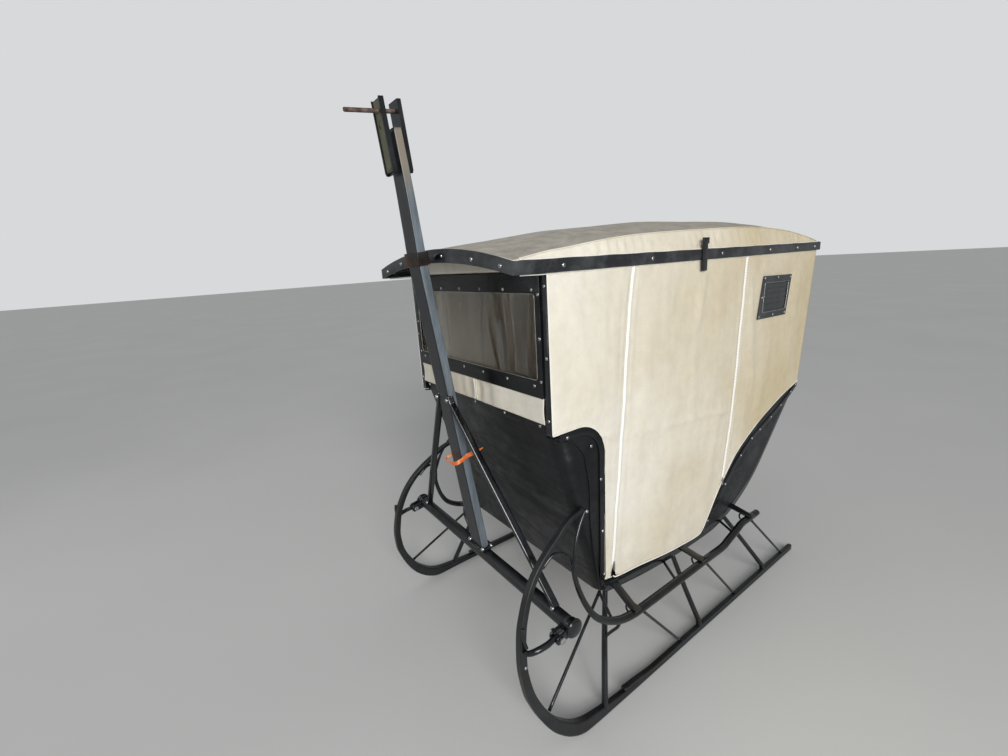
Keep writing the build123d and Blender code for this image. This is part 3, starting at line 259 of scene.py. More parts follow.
def coated_black(name="black_coated_fabric", rough=(0.3, 0.52), low=None, high=None, slack=0.5):
    """Vinyl coated fabric over board: black, satin, with a fine pebble grain, grey dust, and long soft
    wrinkles.

    The pebble is 0.6 mm on the cloth and drawn at 2 mm.
    """
    cloth = bpy.context.scene.sleigh_cloth
    made, tree, shader = finish(name, IOR=1.5, Specular_IOR_Level=0.3)
    where = add(tree, "TexCoord").outputs["Object"]
    dust = add(tree, "TexNoise", {"Vector": where, "Scale": 7.0, "Detail": 8.0, "Roughness": 0.7})
    base = add(
        tree,
        "ValToRGB",
        {"Fac": dust},
        [(0.4, linear(low) if low else cloth.black), (0.78, linear(high) if high else cloth.dusty)],
    )
    patch = add(tree, "TexNoise", {"Vector": where, "Scale": 18.0, "Detail": 4.0, "Roughness": 0.6})
    shine = add(tree, "ValToRGB", {"Fac": patch}, [(0.3, grey(rough[0])), (0.7, grey(rough[1]))])
    drawn = add(tree, "Mapping", {"Vector": where, "Rotation": (0.5, 0.4, 0.0), "Scale": (2.6, 2.6, 10.0)})
    wrinkle = add(
        tree, "TexNoise", {"Vector": drawn, "Scale": 1.0, "Detail": 2.0, "Roughness": 0.4, "Distortion": 0.5}
    )
    pebble = add(tree, "TexVoronoi", {"Vector": where, "Scale": 500.0})
    level = add(tree, "Math", {0: pebble, 1: 0.012, 2: wrinkle}, operation="MULTIPLY_ADD")
    soft = add(tree, "Bump", {"Height": level, "Distance": 0.03, "Strength": slack})
    lead(tree, shader, Base_Color=base, Roughness=shine, Normal=soft)
    return made


def brushed_enamel(
    name="brushed_black_enamel", chips=0.69, shine=(0.08, 0.26), body=None, rubbed=None,
    grain=(1.0, 1.0, 1.0), lit_and_rubbed_side=None,
):
    """Black oil enamel brushed on steel: glossy with brush drag, rubbed grey, rust where chips opened.
    grain draws the rubbing out along a bar. The colour given last goes on faces that look to +X, in rubbed
    streaks and as painted light on that lit side; they are bare near the top where the channels have scraped
    them."""
    irons = bpy.context.scene.sleigh_irons
    made, tree, shader = finish(name, IOR=1.52)
    where = add(tree, "TexCoord").outputs["Object"]
    along = add(tree, "Mapping", {"Vector": where, "Scale": grain})
    rub = add(tree, "TexNoise", {"Vector": along, "Scale": 9.0, "Detail": 8.0, "Roughness": 0.72})
    base = add(
        tree,
        "ValToRGB",
        {"Fac": rub},
        [(0.44, linear(body) if body else irons.paint), (0.74, linear(rubbed) if rubbed else irons.scuffed)],
    )
    # painted light: faces that look to +X, where the lamps stand, get a lighter grey blue along with the
    # rubbed streaks
    if lit_and_rubbed_side:
        looks = add(tree, "SeparateXYZ", {"Vector": add(tree, "NewGeometry").outputs["Normal"]})
        side = add(tree, "MapRange", {"Value": looks.outputs["X"], "From Min": 0.6, "From Max": 0.9})
        rubbed_and_lit_streaks = add(
            tree,
            "Math",
            {
                0: side,
                1: add(tree, "MapRange", {"Value": rub, "From Min": 0.3, "From Max": 0.6, "To Min": 0.45}),
            },
            operation="MULTIPLY",
        )
        base = add(tree, "MixRGB", {"Fac": rubbed_and_lit_streaks, "Color1": base, "Color2": linear(lit_and_rubbed_side)})
        tall = add(tree, "SeparateXYZ", {"Vector": where})
        near_top = add(tree, "MapRange", {"Value": tall.outputs["Z"], "From Min": 1.63, "From Max": 1.72})
        scraped = add(tree, "Math", {0: near_top, 1: side}, operation="MULTIPLY")
        base = add(tree, "MixRGB", {"Fac": scraped, "Color1": base, "Color2": linear("7F776A")})
    flake = add(tree, "TexNoise", {"Vector": where, "Scale": 46.0, "Detail": 7.0, "Roughness": 0.7})
    bare = add(tree, "ValToRGB", {"Fac": flake}, [(chips, grey(0.0)), (chips + 0.02, grey(1.0))])
    mottle = add(tree, "TexNoise", {"Vector": where, "Scale": 140.0, "Detail": 3.0, "Roughness": 0.6})
    rust = add(tree, "ValToRGB", {"Fac": mottle}, [(0.3, linear("241711")), (0.7, irons.rust)])
    final = add(tree, "MixRGB", {"Fac": bare, "Color1": base, "Color2": rust})
    gloss = add(tree, "ValToRGB", {"Fac": rub}, [(0.3, grey(shine[0])), (0.7, grey(shine[1]))])
    dull = add(tree, "MixRGB", {"Fac": bare, "Color1": gloss, "Color2": grey(0.85)})
    drag = add(tree, "TexNoise", {"Vector": where, "Scale": 120.0, "Detail": 3.0, "Roughness": 0.5})
    level = add(tree, "Math", {0: bare, 1: -0.6, 2: drag}, operation="MULTIPLY_ADD")
    soft = add(tree, "Bump", {"Height": level, "Distance": 0.0004, "Strength": 0.22})
    lead(tree, shader, Base_Color=final, Roughness=dull, Normal=soft)
    return made


def rusted_steel(name="rusted_round_steel"):
    """Bare mild steel left outdoors: brown red scale, dry, pitted."""
    made, tree, shader = finish(name, Metallic=0.25)
    where = add(tree, "TexCoord").outputs["Object"]
    scale = add(tree, "TexNoise", {"Vector": where, "Scale": 70.0, "Detail": 7.0, "Roughness": 0.7})
    base = add(
        tree,
        "ValToRGB",
        {"Fac": scale},
        [(0.35, linear("3A2E2A")), (0.55, linear("6B5850")), (0.75, linear("8C7A70"))],
    )
    dry = add(tree, "ValToRGB", {"Fac": scale}, [(0.35, grey(0.85)), (0.7, grey(0.6))])
    soft = add(tree, "Bump", {"Height": scale, "Distance": 0.0012, "Strength": 0.7})
    lead(tree, shader, Base_Color=base, Roughness=dry, Normal=soft)
    return made


def zinc_plate(name="zinc_plated_steel", cross=False):
    """Zinc plated steel: bright grey, slightly clouded; screw heads carry a pressed cross painted dark as the
    shade in its recess.
    """
    irons = bpy.context.scene.sleigh_irons
    made, tree, shader = finish(name, Metallic=1.0)
    where = add(tree, "TexCoord")
    cloud = add(
        tree, "TexNoise", {"Vector": where.outputs["Object"], "Scale": 90.0, "Detail": 4.0, "Roughness": 0.6}
    )
    tone = add(tree, "ValToRGB", {"Fac": cloud}, [(0.3, linear("8E8E8B")), (0.7, irons.bright)])
    shine = add(tree, "ValToRGB", {"Fac": cloud}, [(0.3, grey(0.38)), (0.7, grey(0.22))])
    base = tone
    if cross:
        split = add(tree, "SeparateXYZ", {"Vector": where.outputs["UV"]})
        arms = [add(tree, "Math", {0: split.outputs[k]}, operation="ABSOLUTE") for k in (0, 1)]
        thin = add(tree, "Math", {0: arms[0], 1: arms[1]}, operation="MINIMUM")
        far = add(tree, "Math", {0: arms[0], 1: arms[1]}, operation="MAXIMUM")
        slit = add(tree, "Math", {0: thin, 1: 0.1}, operation="LESS_THAN")
        near = add(tree, "Math", {0: far, 1: 0.5}, operation="LESS_THAN")
        cross_shade = add(tree, "Math", {0: slit, 1: near}, operation="MULTIPLY")
        # painted shade: the cross is coloured 1B1B1B for the shade in its recess
        base = add(tree, "MixRGB", {"Fac": cross_shade, "Color1": tone, "Color2": linear("1B1B1B")})
    lead(tree, shader, Base_Color=base, Roughness=shine)
    return made


def clear_sheet(name="clear_pressed_vinyl"):
    """Clear plasticised vinyl: see-through, glossy, faintly brown, with tall slow waves where it hangs.
    Part of the light passes straight through it, so that the seat behind is lit."""
    made, tree, shader = finish(
        name, Roughness=0.04, IOR=1.3, Transmission_Weight=1.0, Base_Color=linear("F4F2EC"), Alpha=0.62
    )
    where = add(tree, "TexCoord").outputs["Object"]
    tall = add(tree, "Mapping", {"Vector": where, "Scale": (9.0, 9.0, 1.4)})
    wave = add(
        tree, "TexNoise", {"Vector": tall, "Scale": 1.0, "Detail": 1.0, "Roughness": 0.4, "Distortion": 0.3}
    )
    soft = add(tree, "Bump", {"Height": wave, "Distance": 0.03, "Strength": 0.85})
    lead(tree, shader, Normal=soft)
    return made


def flat_twine(name="polypropylene_twine"):
    """Flat plastic twine: orange, bleached nearly white where it is creased, with a silky shine along its
    fibres."""
    cloth = bpy.context.scene.sleigh_cloth
    made, tree, shader = finish(name, IOR=1.49, Roughness=0.4)
    where = add(tree, "TexCoord").outputs["Object"]
    fade = add(tree, "TexNoise", {"Vector": where, "Scale": 60.0, "Detail": 4.0, "Roughness": 0.6})
    base = add(tree, "ValToRGB", {"Fac": fade}, [(0.5, cloth.twine), (0.72, linear("F3B98E"))])
    fibre = add(tree, "TexNoise", {"Vector": where, "Scale": 700.0, "Detail": 1.0})
    soft = add(tree, "Bump", {"Height": fibre, "Distance": 0.0004, "Strength": 0.5})
    lead(tree, shader, Base_Color=base, Normal=soft)
    return made


def zip_chain(name="polyester_zip_chain"):
    """Moulded polyester zip: near white, satin. Its teeth are 3 mm apart, and are drawn 6 mm apart so that
    they show, along the strip's own length."""
    cloth = bpy.context.scene.sleigh_cloth
    made, tree, shader = finish(name, IOR=1.5, Roughness=0.5)
    cut = add(tree, "TexCoord").outputs["UV"]
    teeth = add(tree, "TexWave", {"Vector": cut, "Scale": bands(0.005922)}, bands_direction="Y")
    base = add(tree, "ValToRGB", {"Fac": teeth.outputs["Fac"]}, [(0.1, linear("DEDBD1")), (0.5, cloth.zip)])
    soft = add(tree, "Bump", {"Height": teeth.outputs["Fac"], "Distance": 0.0008, "Strength": 0.8})
    lead(tree, shader, Base_Color=base, Normal=soft)
    return made


def sawn_board(name="stained_softwood_board"):
    """Softwood board stained dark: long grain, dry, slightly raised."""
    made, tree, shader = finish(name, Roughness=0.7, IOR=1.5)
    where = add(tree, "TexCoord").outputs["Object"]
    stretch = add(tree, "Mapping", {"Vector": where, "Scale": (4.0, 60.0, 60.0)})
    grain = add(
        tree,
        "TexNoise",
        {"Vector": stretch, "Scale": 1.0, "Detail": 6.0, "Roughness": 0.65, "Distortion": 0.6},
    )
    base = add(tree, "ValToRGB", {"Fac": grain}, [(0.35, linear("3A2A1E")), (0.7, linear("6E5136"))])
    soft = add(tree, "Bump", {"Height": grain, "Distance": 0.0008, "Strength": 0.5})
    lead(tree, shader, Base_Color=base, Normal=soft)
    return made


def seat_cover(name="brown_seat_vinyl"):
    """Upholstery vinyl: dark brown, pebbled, satin with shinier rubbed areas."""
    made, tree, shader = finish(name, IOR=1.5)
    where = add(tree, "TexCoord").outputs["Object"]
    rub = add(tree, "TexNoise", {"Vector": where, "Scale": 9.0, "Detail": 5.0, "Roughness": 0.6})
    base = add(tree, "ValToRGB", {"Fac": rub}, [(0.35, linear("3B2A22")), (0.7, linear("4E392D"))])
    shine = add(tree, "ValToRGB", {"Fac": rub}, [(0.35, grey(0.55)), (0.7, grey(0.38))])
    pebble = add(tree, "TexVoronoi", {"Vector": where, "Scale": 420.0})
    soft = add(tree, "Bump", {"Height": pebble, "Distance": 0.0005, "Strength": 0.6})
    lead(tree, shader, Base_Color=base, Roughness=shine, Normal=soft)
    return made


FINISHES = {}


def finished(maker, *args, **kwargs):
    """The finish that a maker gives, made once and shared."""
    key = (maker.__name__, args, tuple(sorted(kwargs.items())))
    if key not in FINISHES:
        FINISHES[key] = maker(*args, **kwargs)
    return FINISHES[key]


# Surfaces on grids


def placed(points):
    """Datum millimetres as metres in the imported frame: Y gains the shift, then all is divided by 1000."""
    return (np.asarray(points, float) + (0, SHIFT_Y, 0)) / 1000


def evenly(curve, count):
    """Points spaced evenly by length along a polyline, each coordinate read off against the running
    length."""
    curve = np.asarray(curve, float)
    reach = np.concatenate([[0], np.cumsum(np.linalg.norm(np.diff(curve, axis=0), axis=1))])
    at = np.linspace(0, reach[-1], count)
    return np.stack([np.interp(at, reach, curve[:, k]) for k in range(curve.shape[1])], -1)


def through(points, count):
    """A smooth curve through points: between two of them a cubic whose slopes are half the step from the
    point before to the point after, spaced evenly by length."""
    p = np.asarray(points, float)
    ends = np.concatenate([[2 * p[0] - p[1]], p, [2 * p[-1] - p[-2]]])
    t = np.linspace(0, len(p) - 1, 40 * len(p))
    i = np.minimum(t.astype(int), len(p) - 2)
    f = (t - i)[:, None]
    a, b, c, d = ends[i], ends[i + 1], ends[i + 2], ends[i + 3]
    curve = 0.5 * (2 * b + (c - a) * f + (2 * a - 5 * b + 4 * c - d) * f**2 + (3 * b - a - 3 * c + d) * f**3)
    return evenly(curve, count)


def carried(profile, path, up):
    """A flat profile carried along a path: its first number goes across, square to the path and to up, and
    its second along up as nearly as the path allows. The profile may be one, or one for each point of the
    path."""
    profile, path = np.asarray(profile, float), np.asarray(path, float)
    profile = profile if profile.ndim == 3 else profile[None]
    ahead = np.gradient(path, axis=0)
    ahead /= np.linalg.norm(ahead, axis=1, keepdims=True)
    across = np.cross(ahead, np.asarray(up, float))
    across /= np.linalg.norm(across, axis=1, keepdims=True)
    lift = np.cross(across, ahead)
    return path[:, None] + profile[..., :1] * across[:, None] + profile[..., 1:] * lift[:, None]


def ring(radius, count):
    """A round profile: radius times the cosine and sine of evenly spaced turns."""
    turn = np.linspace(0, 2 * np.pi, count, endpoint=False)
    return radius * np.stack([np.cos(turn), np.sin(turn)], -1)


def slab(corner=0.12):
    """A square profile one wide with rounded corners, and a point just inside each so that the flats stay
    flat."""
    turn = np.radians([0, 45, 90])
    arc = np.stack([np.cos(turn), np.sin(turn)], -1) * corner + 0.5 - corner
    hold = 0.5 - 1.5 * corner
    quarter = np.concatenate([[(0.5, hold)], arc, [(hold, 0.5)]])
    spin = np.array([[0, 1], [-1, 0]])
    return np.concatenate([quarter, quarter @ spin, quarter @ spin @ spin, quarter @ spin @ spin @ spin])


def arc_cut(grids):
    """UV in metres: each point's distance along its row and along its column from the grid's first corner."""
    across = np.concatenate(
        [np.zeros_like(grids[:, :, :1, 0]), np.cumsum(np.linalg.norm(np.diff(grids, axis=2), axis=-1), 2)], 2
    )
    along = np.concatenate(
        [np.zeros_like(grids[:, :1, :, 0]), np.cumsum(np.linalg.norm(np.diff(grids, axis=1), axis=-1), 1)], 1
    )
    return np.stack([across, along], -1) / 1000


def bar(name, rows, material, profile=None, up=(0, 0, 1), count=60, both=True, curve=None, **settings):
    """A bar through rows of x, y, z, size across, size along up: its profile, a ring of radius 1 unless
    one is given, is carried along the curve through the rows and scaled by the sizes there. both adds its
    mirror image in X."""
    rows = np.asarray(rows, float)
    rows = rows if rows.shape[1] == 5 else np.concatenate([rows, rows[:, 3:4]], 1)
    line = (curve or through)(rows, count)
    shape = (ring(1.0, 14) if profile is None else profile)[None] * line[:, None, 3:]
    grid = carried(shape, line[:, :3], up)
    grids = np.stack([grid, grid * (-1, 1, 1)]) if both else grid
    return piece(name, grids, material, closed=True, ends=True, **settings)


def surround(name, outer, inner, lift, material, **settings):
    """A flat frame between an outer and an inner loop of points, its face raised by lift and its edges
    eased."""
    outer, inner, lift = np.asarray(outer, float), np.asarray(inner, float), np.asarray(lift, float)
    ease = 0.05 * (inner - outer)
    grid = np.stack(
        [outer, outer + 0.8 * lift, outer + ease + lift, inner - ease + lift, inner + 0.8 * lift, inner], 1
    )
    return piece(name, np.concatenate([grid, grid[:1]]), material, closed=True, smooth=False, **settings)


def piece(
    name, points, material, body="sleigh", slot=None, closed=False, ends=False, facing=None, cut=None,
    smooth=True,
):
    """One object from a grid, or several grids, of points in datum millimetres, one quad to each cell.

    closed joins the last column to the first, ends fills the first and last rows, and facing is the direction
    that an open sheet's front looks in. Points that fall together are merged.
    """
    grids = np.asarray(points, float)
    grids = grids[None] if grids.ndim == 3 else grids
    if closed:
        grids = np.concatenate([grids, grids[:, :, :1]], 2)
    count, rows, columns = grids.shape[:3]
    cut = arc_cut(grids) if cut is None else np.asarray(cut, float)
    index = np.arange(count * rows * columns).reshape(count, rows, columns)
    quads = np.stack(
        [index[:, :-1, :-1], index[:, 1:, :-1], index[:, 1:, 1:], index[:, :-1, 1:]], -1
    ).reshape(-1, 4)
    faces = quads.tolist()
    if ends:
        faces += index[:, 0, :-1].tolist() + index[:, -1, :-1].tolist()
    mesh = bpy.data.meshes.new(name)
    mesh.from_pydata(placed(grids).reshape(-1, 3).tolist(), [], faces)
    corners = np.empty(len(mesh.loops), np.int32)
    mesh.loops.foreach_get("vertex_index", corners)
    mesh.uv_layers.new(name="UVMap").data.foreach_set("uv", cut.reshape(-1, 2)[corners].ravel())
    work = bmesh.new()
    work.from_mesh(mesh)
    bmesh.ops.remove_doubles(work, verts=work.verts, dist=2e-6)
    bmesh.ops.dissolve_degenerate(work, edges=work.edges, dist=1e-7)
    if facing is None:
        bmesh.ops.recalc_face_normals(work, faces=work.faces)
    work.to_mesh(mesh)
    work.free()
    mesh.polygons.foreach_set("use_smooth", np.full(len(mesh.polygons), smooth))
    if facing is not None:
        normals = np.empty(3 * len(mesh.polygons))
        mesh.polygons.foreach_get("normal", normals)
        if (normals.reshape(-1, 3) @ np.asarray(facing, float)).sum() < 0:
            mesh.flip_normals()
    mesh.materials.append(material)
    return shown(name, mesh, body)


def shown(name, mesh, body):
    """Puts a mesh in the scene as an object that rides on a body."""
    made = bpy.data.objects.new(name, mesh)
    bpy.context.scene.collection.objects.link(made)
    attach(made, body)
    return made


def thickened(made, thickness, offset=-1.0):
    """Gives a sheet its wall, inwards from its face by default."""
    wall = made.modifiers.new("wall", "SOLIDIFY")
    wall.thickness, wall.offset, wall.use_even_offset = thickness, offset, True
    return made


def domes(name, places, looks, radius, height, material, body="sleigh", slot="bright_steel", sides=12):
    """Domed heads: at each place a cap of turned rings, rim radius r and height h, with the ring at share
    s of the way up having radius r * cos(90 s) and height h * sin(90 s), and its axis along the place's
    own direction."""
    places, looks = np.asarray(places, float).reshape(-1, 3), np.asarray(looks, float).reshape(-1, 3)
    looks = np.broadcast_to(looks, places.shape)
    looks = looks / np.linalg.norm(looks, axis=1, keepdims=True)
    aside = np.cross(looks, np.where(np.abs(looks[:, 2:]) < 0.9, (0, 0, 1), (1, 0, 0)))
    aside /= np.linalg.norm(aside, axis=1, keepdims=True)
    other = np.cross(looks, aside)
    lift = np.radians([0, 25, 50, 72, 90])
    turn = np.linspace(0, 2 * np.pi, sides, endpoint=False)
    flat = np.cos(lift)[:, None] * np.stack([np.cos(turn), np.sin(turn)])[:, None]
    up = np.concatenate([[-0.4 * height], height * np.sin(lift)])
    flat = np.concatenate([flat[:, :1], flat], 1) * radius
    grids = (
        places[:, None, None]
        + flat[0][None, ..., None] * aside[:, None, None]
        + flat[1][None, ..., None] * other[:, None, None]
        + up[None, :, None, None] * looks[:, None, None]
    )
    closing = np.concatenate([flat, flat[:, :, :1]], 2) / radius
    cut = np.broadcast_to(np.moveaxis(closing, 0, -1), (len(places), *closing.shape[1:], 2))
    return piece(name, grids, material, body, slot, closed=True, cut=cut)


# The canvas cab

FRONT_ZIP = [(-350, 1436), (-352, 1399), (-374, 1238), (-395, 970), (-438, 530), (-445, 440), (-446, 398)]
REAR_ZIP = [(312, 1436), (309, 1394), (292, 1130), (273, 845), (240, 600), (221, 506)]
DOOR_FOOT = [
    (-446, 398), (-425, 387), (-306, 371), (-153, 346), (-40, 334), (51, 328), (90, 338), (129, 385),
    (175, 448), (221, 506),
]
QUARTER_FOOT = [
    (221, 506), (243, 527), (300, 583), (368, 632), (480, 690), (606, 740), (730, 780), (862, 812)
]
# The arch's middle in y and z and its radius, and the flat patch behind a vent: its middle and half sizes
ARCH = (-593.0, 858.0, 110.0)
VENT = (548, 1239, 140, 90)

SIDE_FOLDS = (
    # y and z of one end, y and z of the other, height, half width
    (-525, 918, -208, 863, 2.6, 9),
    (-208, 863, 6, 848, 3.0, 8),
    (6, 848, 260, 812, 2.8, 9),
    (30, 1400, -26, 1151, 5.0, 22),
    (-26, 1151, -18, 800, 4.0, 26),
    (299, 1400, 312, 1000, -4.5, 12),
    (340, 1330, 411, 815, 6.0, 24),
    (-640, 1390, -500, 1000, 3.4, 30),
    (-560, 1400, -420, 1240, -2.4, 18),
    (-250, 1380, -330, 700, 3.4, 34),
    (-300, 700, -150, 420, 3.2, 30),
    (-120, 700, 60, 420, -3.0, 30),
    (120, 1380, 180, 1000, 2.8, 30),
    (180, 900, 100, 500, 3.4, 26),
    (520, 1100, 480, 760, 4.2, 34),
    (760, 1380, 700, 850, 5.0, 40),
    (880, 1400, 840, 900, -3.6, 22),
    (620, 1130, 740, 860, 2.6, 22),
    (420, 1400, 380, 1180, -2.6, 18),
    (-430, 1380, -455, 900, 2.8, 22),
    (-620, 1100, -660, 980, -2.0, 20),
    (-90, 1390, -160, 1180, -2.4, 22),
    (-380, 470, -260, 392, 2.4, 18),
    (-60, 470, 40, 350, 2.6, 18),
)


def fold_height(y, z, table):
    """Height of the folds at (y, z): for each row, height * exp(-(distance from its line / half width)
    squared), fading to nothing over the line's ends, all added together."""
    rows = np.asarray(table, float)
    start, run = rows[:, 0:2], rows[:, 2:4] - rows[:, 0:2]
    here = np.stack([y, z], -1)[..., None, :]
    share = ((here - start) * run).sum(-1) / (run**2).sum(-1)
    held = np.clip(share, 0, 1)
    gap = np.linalg.norm(here - start - held[..., None] * run, axis=-1)
    fade = np.clip(1.15 - np.abs(2 * share - 1) ** 4, 0, 1)
    return (rows[:, 4] * np.exp(-((gap / rows[:, 5]) ** 2)) * fade).sum(-1)


def ruled(low, high, rows):
    """Points on straight lines from each point of the low curve to its partner on the high one, at the
    shares in rows."""
    low, high = np.asarray(low, float), np.asarray(high, float)
    return low[None] + rows[:, None, None] * (high - low)[None]


def bent_to(flat, edges):
    """Moves a field's first and last columns on to its zip lines, and the columns between by their share
    of it."""
    flat = flat.copy()
    share = np.linspace(0, 1, flat.shape[1])
    for edge, column, weight in ((edges[0], 0, 1 - share), (edges[1], -1, share)):
        if edge is not None:
            order = np.argsort(edge[:, 1])
            want = np.interp(flat[:, column, 1], edge[order, 1], edge[order, 0])
            flat[..., 0] += (want - flat[:, column, 0])[:, None] * weight[None]
    return flat


def canvas_field(side, low, high, edges, swell, rows=118):
    """A field of the canvas side: Y and Z from ruled lines between the foot and the top, and X from the
    frame out. X is a swell that is sine by sine across the field, plus the folds, slow ripples, a groove
    and a ridge beside each zip, short puckers that die away from it, and a raised hem along the foot."""
    share = np.linspace(0, 1, rows)
    flat = bent_to(ruled(low, high, share), edges)
    y, z = flat[..., 0], flat[..., 1]
    across = np.linspace(0, 1, flat.shape[1])[None]
    hold = np.clip(10 * np.minimum(across, 1 - across), 0, 1) * np.clip(14 * (1 - share[:, None]), 0, 1)
    ripple = (
        0.7 * np.sin(y / 47 + z / 83)
        + 0.6 * np.sin(z / 39 - y / 120 + side)
        + 0.35 * np.sin(y / 19 + z / 61)
    )
    bulge = swell * np.sin(np.pi * across) * np.sin(np.pi * share[:, None]) ** 0.7
    out = bulge + hold * (1.4 * fold_height(y, z, SIDE_FOLDS) + ripple)
    beyond = np.maximum(np.abs(y - VENT[0]) - VENT[2], np.abs(z - VENT[1]) - VENT[3])
    out = out * np.clip(beyond / 25, 0, 1)
    for edge, column in ((edges[0], 0), (edges[1], -1)):
        if edge is not None:
            gap = np.abs(y - y[:, column, None])
            groove = -2.6 * np.exp(-(((gap - 10) / 5) ** 2)) + 1.5 * np.exp(-(((gap - 22) / 8) ** 2))
            pucker = 0.9 * np.sin(z / 8.5 + 1.6 * np.sin(z / 70)) * np.exp(-gap / 16)
            out = out + (groove + pucker) * np.clip(14 * (1 - share[:, None]), 0, 1)
    foot = np.clip(z - z[:1], 0, 60)
    out = out + 0.9 * (foot < 14) - 0.7 * np.exp(-(((foot - 17) / 3) ** 2))
    top = np.clip(CANVAS_TOP - z, 0, 200)
    out = out + 1.3 * np.sin(y / 7.5 + 1.4 * np.sin(y / 51)) * np.exp(-top / 26) * np.clip(top / 8, 0, 1)
    return np.stack([side * (CANVAS_X + 1.2 + np.maximum(out, -1.0)), y, z], -1)


def front_edge():
    """Y and Z of the front field's foot: level from the post, a quarter circle over the arch, and down to
    the zip."""
    turn = np.linspace(np.pi / 2, 0, 24)
    arch = np.stack([ARCH[0] + ARCH[2] * np.cos(turn), ARCH[1] + ARCH[2] * np.sin(turn)], -1)
    return np.concatenate([[(-691, 968)], arch, [(-483, 405), (-452, 397)]])


class SLEIGH_OT_canvas_sides(bpy.types.Operator):
    """Hangs the three canvas fields of each side between the post, the zips and the rear corner"""

    bl_idname = "sleigh.canvas_sides"
    bl_label = "Canvas sides"

    def execute(self, context):
        cloth = context.scene.sleigh_cloth
        canvas, bound = finished(cotton_duck), finished(cotton_duck, "bound_canvas_hem", plain=True)
        swell = cloth.swell * 1000
        front_low, columns = front_edge(), 96
        along_top = np.interp(np.linspace(0, 1, columns), (0, 0.36, 1), (-691, -483, -351))
        front_top = np.stack([along_top, np.full(columns, CANVAS_TOP)], -1)
        front_zip, rear_zip = through(FRONT_ZIP, 200), through(REAR_ZIP, 200)
        split = np.clip((front_zip[:, 1] - 436) / -30, 0, 1)[:, None] * (11.0, 0.0)
        fields = {
            "front_canvas": (
                evenly(front_low, columns), front_top, (None, front_zip - (1, 0) - split), "front_curtain"
            ),
            "door_canvas": (
                through(DOOR_FOOT, 130),
                evenly([(-349, 1436), (311, 1436)], 130),
                (front_zip + (1, 0) + split, rear_zip - (1, 0)),
                "door_curtain",
            ),
            "rear_canvas": (
                through(QUARTER_FOOT, 122),
                evenly([(313, 1436), (929, 1436)], 122),
                (rear_zip + (1, 0), None),
                "rear_side_curtain",
            ),
        }
        hems = {
            "front": [(-691, 1412), (-691, 1200), *front_low.tolist()],
            "door": DOOR_FOOT,
            "quarter": QUARTER_FOOT,
        }
        for side_name, side in SIDES.items():
            for name, line in hems.items():
                line = through(line, 150) if name != "front" else evenly(line, 200)
                path = np.concatenate(
                    [np.full((len(line), 1), side * (CANVAS_X + (0.9 if name == "front" else 1.8))), line], 1
                )
                piece(
                        f"hem_{name}_{side_name}",
                        carried(ring(1.6 if name == "front" else 2.3, 8), path, (side, 0, 0)),
                        bound,
                        slot="canvas",
                        closed=True,
                        ends=True,
                    )
            for name, (low, high, edges, node) in fields.items():
                grid = canvas_field(side, low, high, edges, swell)
                made = piece(f"{name}_{side_name}", grid, canvas, slot="canvas", facing=(side, 0, 0))
                thickened(made, cloth.thickness)
                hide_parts(f"{node}_{side_name}")
        return {"FINISHED"}


ZIP_PROFILE = [(-8, -0.8), (-7, 0.5), (-3, 1.0), (-2.2, 2.4), (2.2, 2.4), (3, 1.0), (7, 0.5), (8, -0.8)]


class SLEIGH_OT_zips(bpy.types.Operator):
    """Runs the white zips down both sides, each with its slider and pull"""

    bl_idname = "sleigh.zips"
    bl_label = "Zips"

    def execute(self, context):
        chain, plate = finished(zip_chain), finished(zinc_plate)
        for side_name, side in SIDES.items():
            for name, points, low in (("front", FRONT_ZIP, 440), ("rear", REAR_ZIP, 516)):
                line = through(points, 300)
                line = line[(line[:, 1] < 1409) & (line[:, 1] > low)]
                wander = 1.1 * np.sin(line[:, 1] / 37) + 0.6 * np.sin(line[:, 1] / 13)
                path = np.stack(
                    [np.full(len(line), side * (CANVAS_X + 1.9)), line[:, 0] + wander, line[:, 1]], -1
                )
                piece(
                    f"zip_{name}_{side_name}",
                    carried(ZIP_PROFILE, path, (side, 0, 0)),
                    chain,
                    slot="canvas",
                    facing=(side, 0, 0),
                )
                y, z = line[-1]
                body = np.array([(-4, 0), (-4, 3), (-2.5, 5), (2.5, 5), (4, 3), (4, 0)])
                along = np.array([(side * (CANVAS_X + 1.9), y, z + d) for d in (-2, 0, 9, 12)])
                size = np.array([0.75, 1, 1, 0.6])[:, None, None]
                slider = along[:, None] + (carried(body, along, (side, 0, 0)) - along[:, None]) * size
                piece(
                    f"zip_slider_{name}_{side_name}", slider, plate, slot="bright_steel", closed=True,
                    ends=True,
                )
                pull = [
                    (side * (CANVAS_X + 6.2), y, z + d, w, 1.2)
                    for d, w in ((8, 3), (4, 5), (-10, 7), (-20, 7), (-23, 4))
                ]
                bar(
                    f"zip_pull_{name}_{side_name}", pull, plate, slab(), (side, 0, 0), 24, both=False,
                    slot="bright_steel",
                )
        return {"FINISHED"}


SHOULDER = [
    (-800, 1446), (-782, 1447), (-693, 1461), (-607, 1470), (-484, 1484), (-319, 1497), (-23, 1507),
    (357, 1513), (620, 1499), (800, 1474), (933, 1446),
]
CROWN = [
    (-800, 1491), (-600, 1517), (-300, 1546), (0, 1564), (300, 1569), (600, 1559), (800, 1526), (933, 1490)
]
BOWS = (-367.75, 64.5, 496.75)


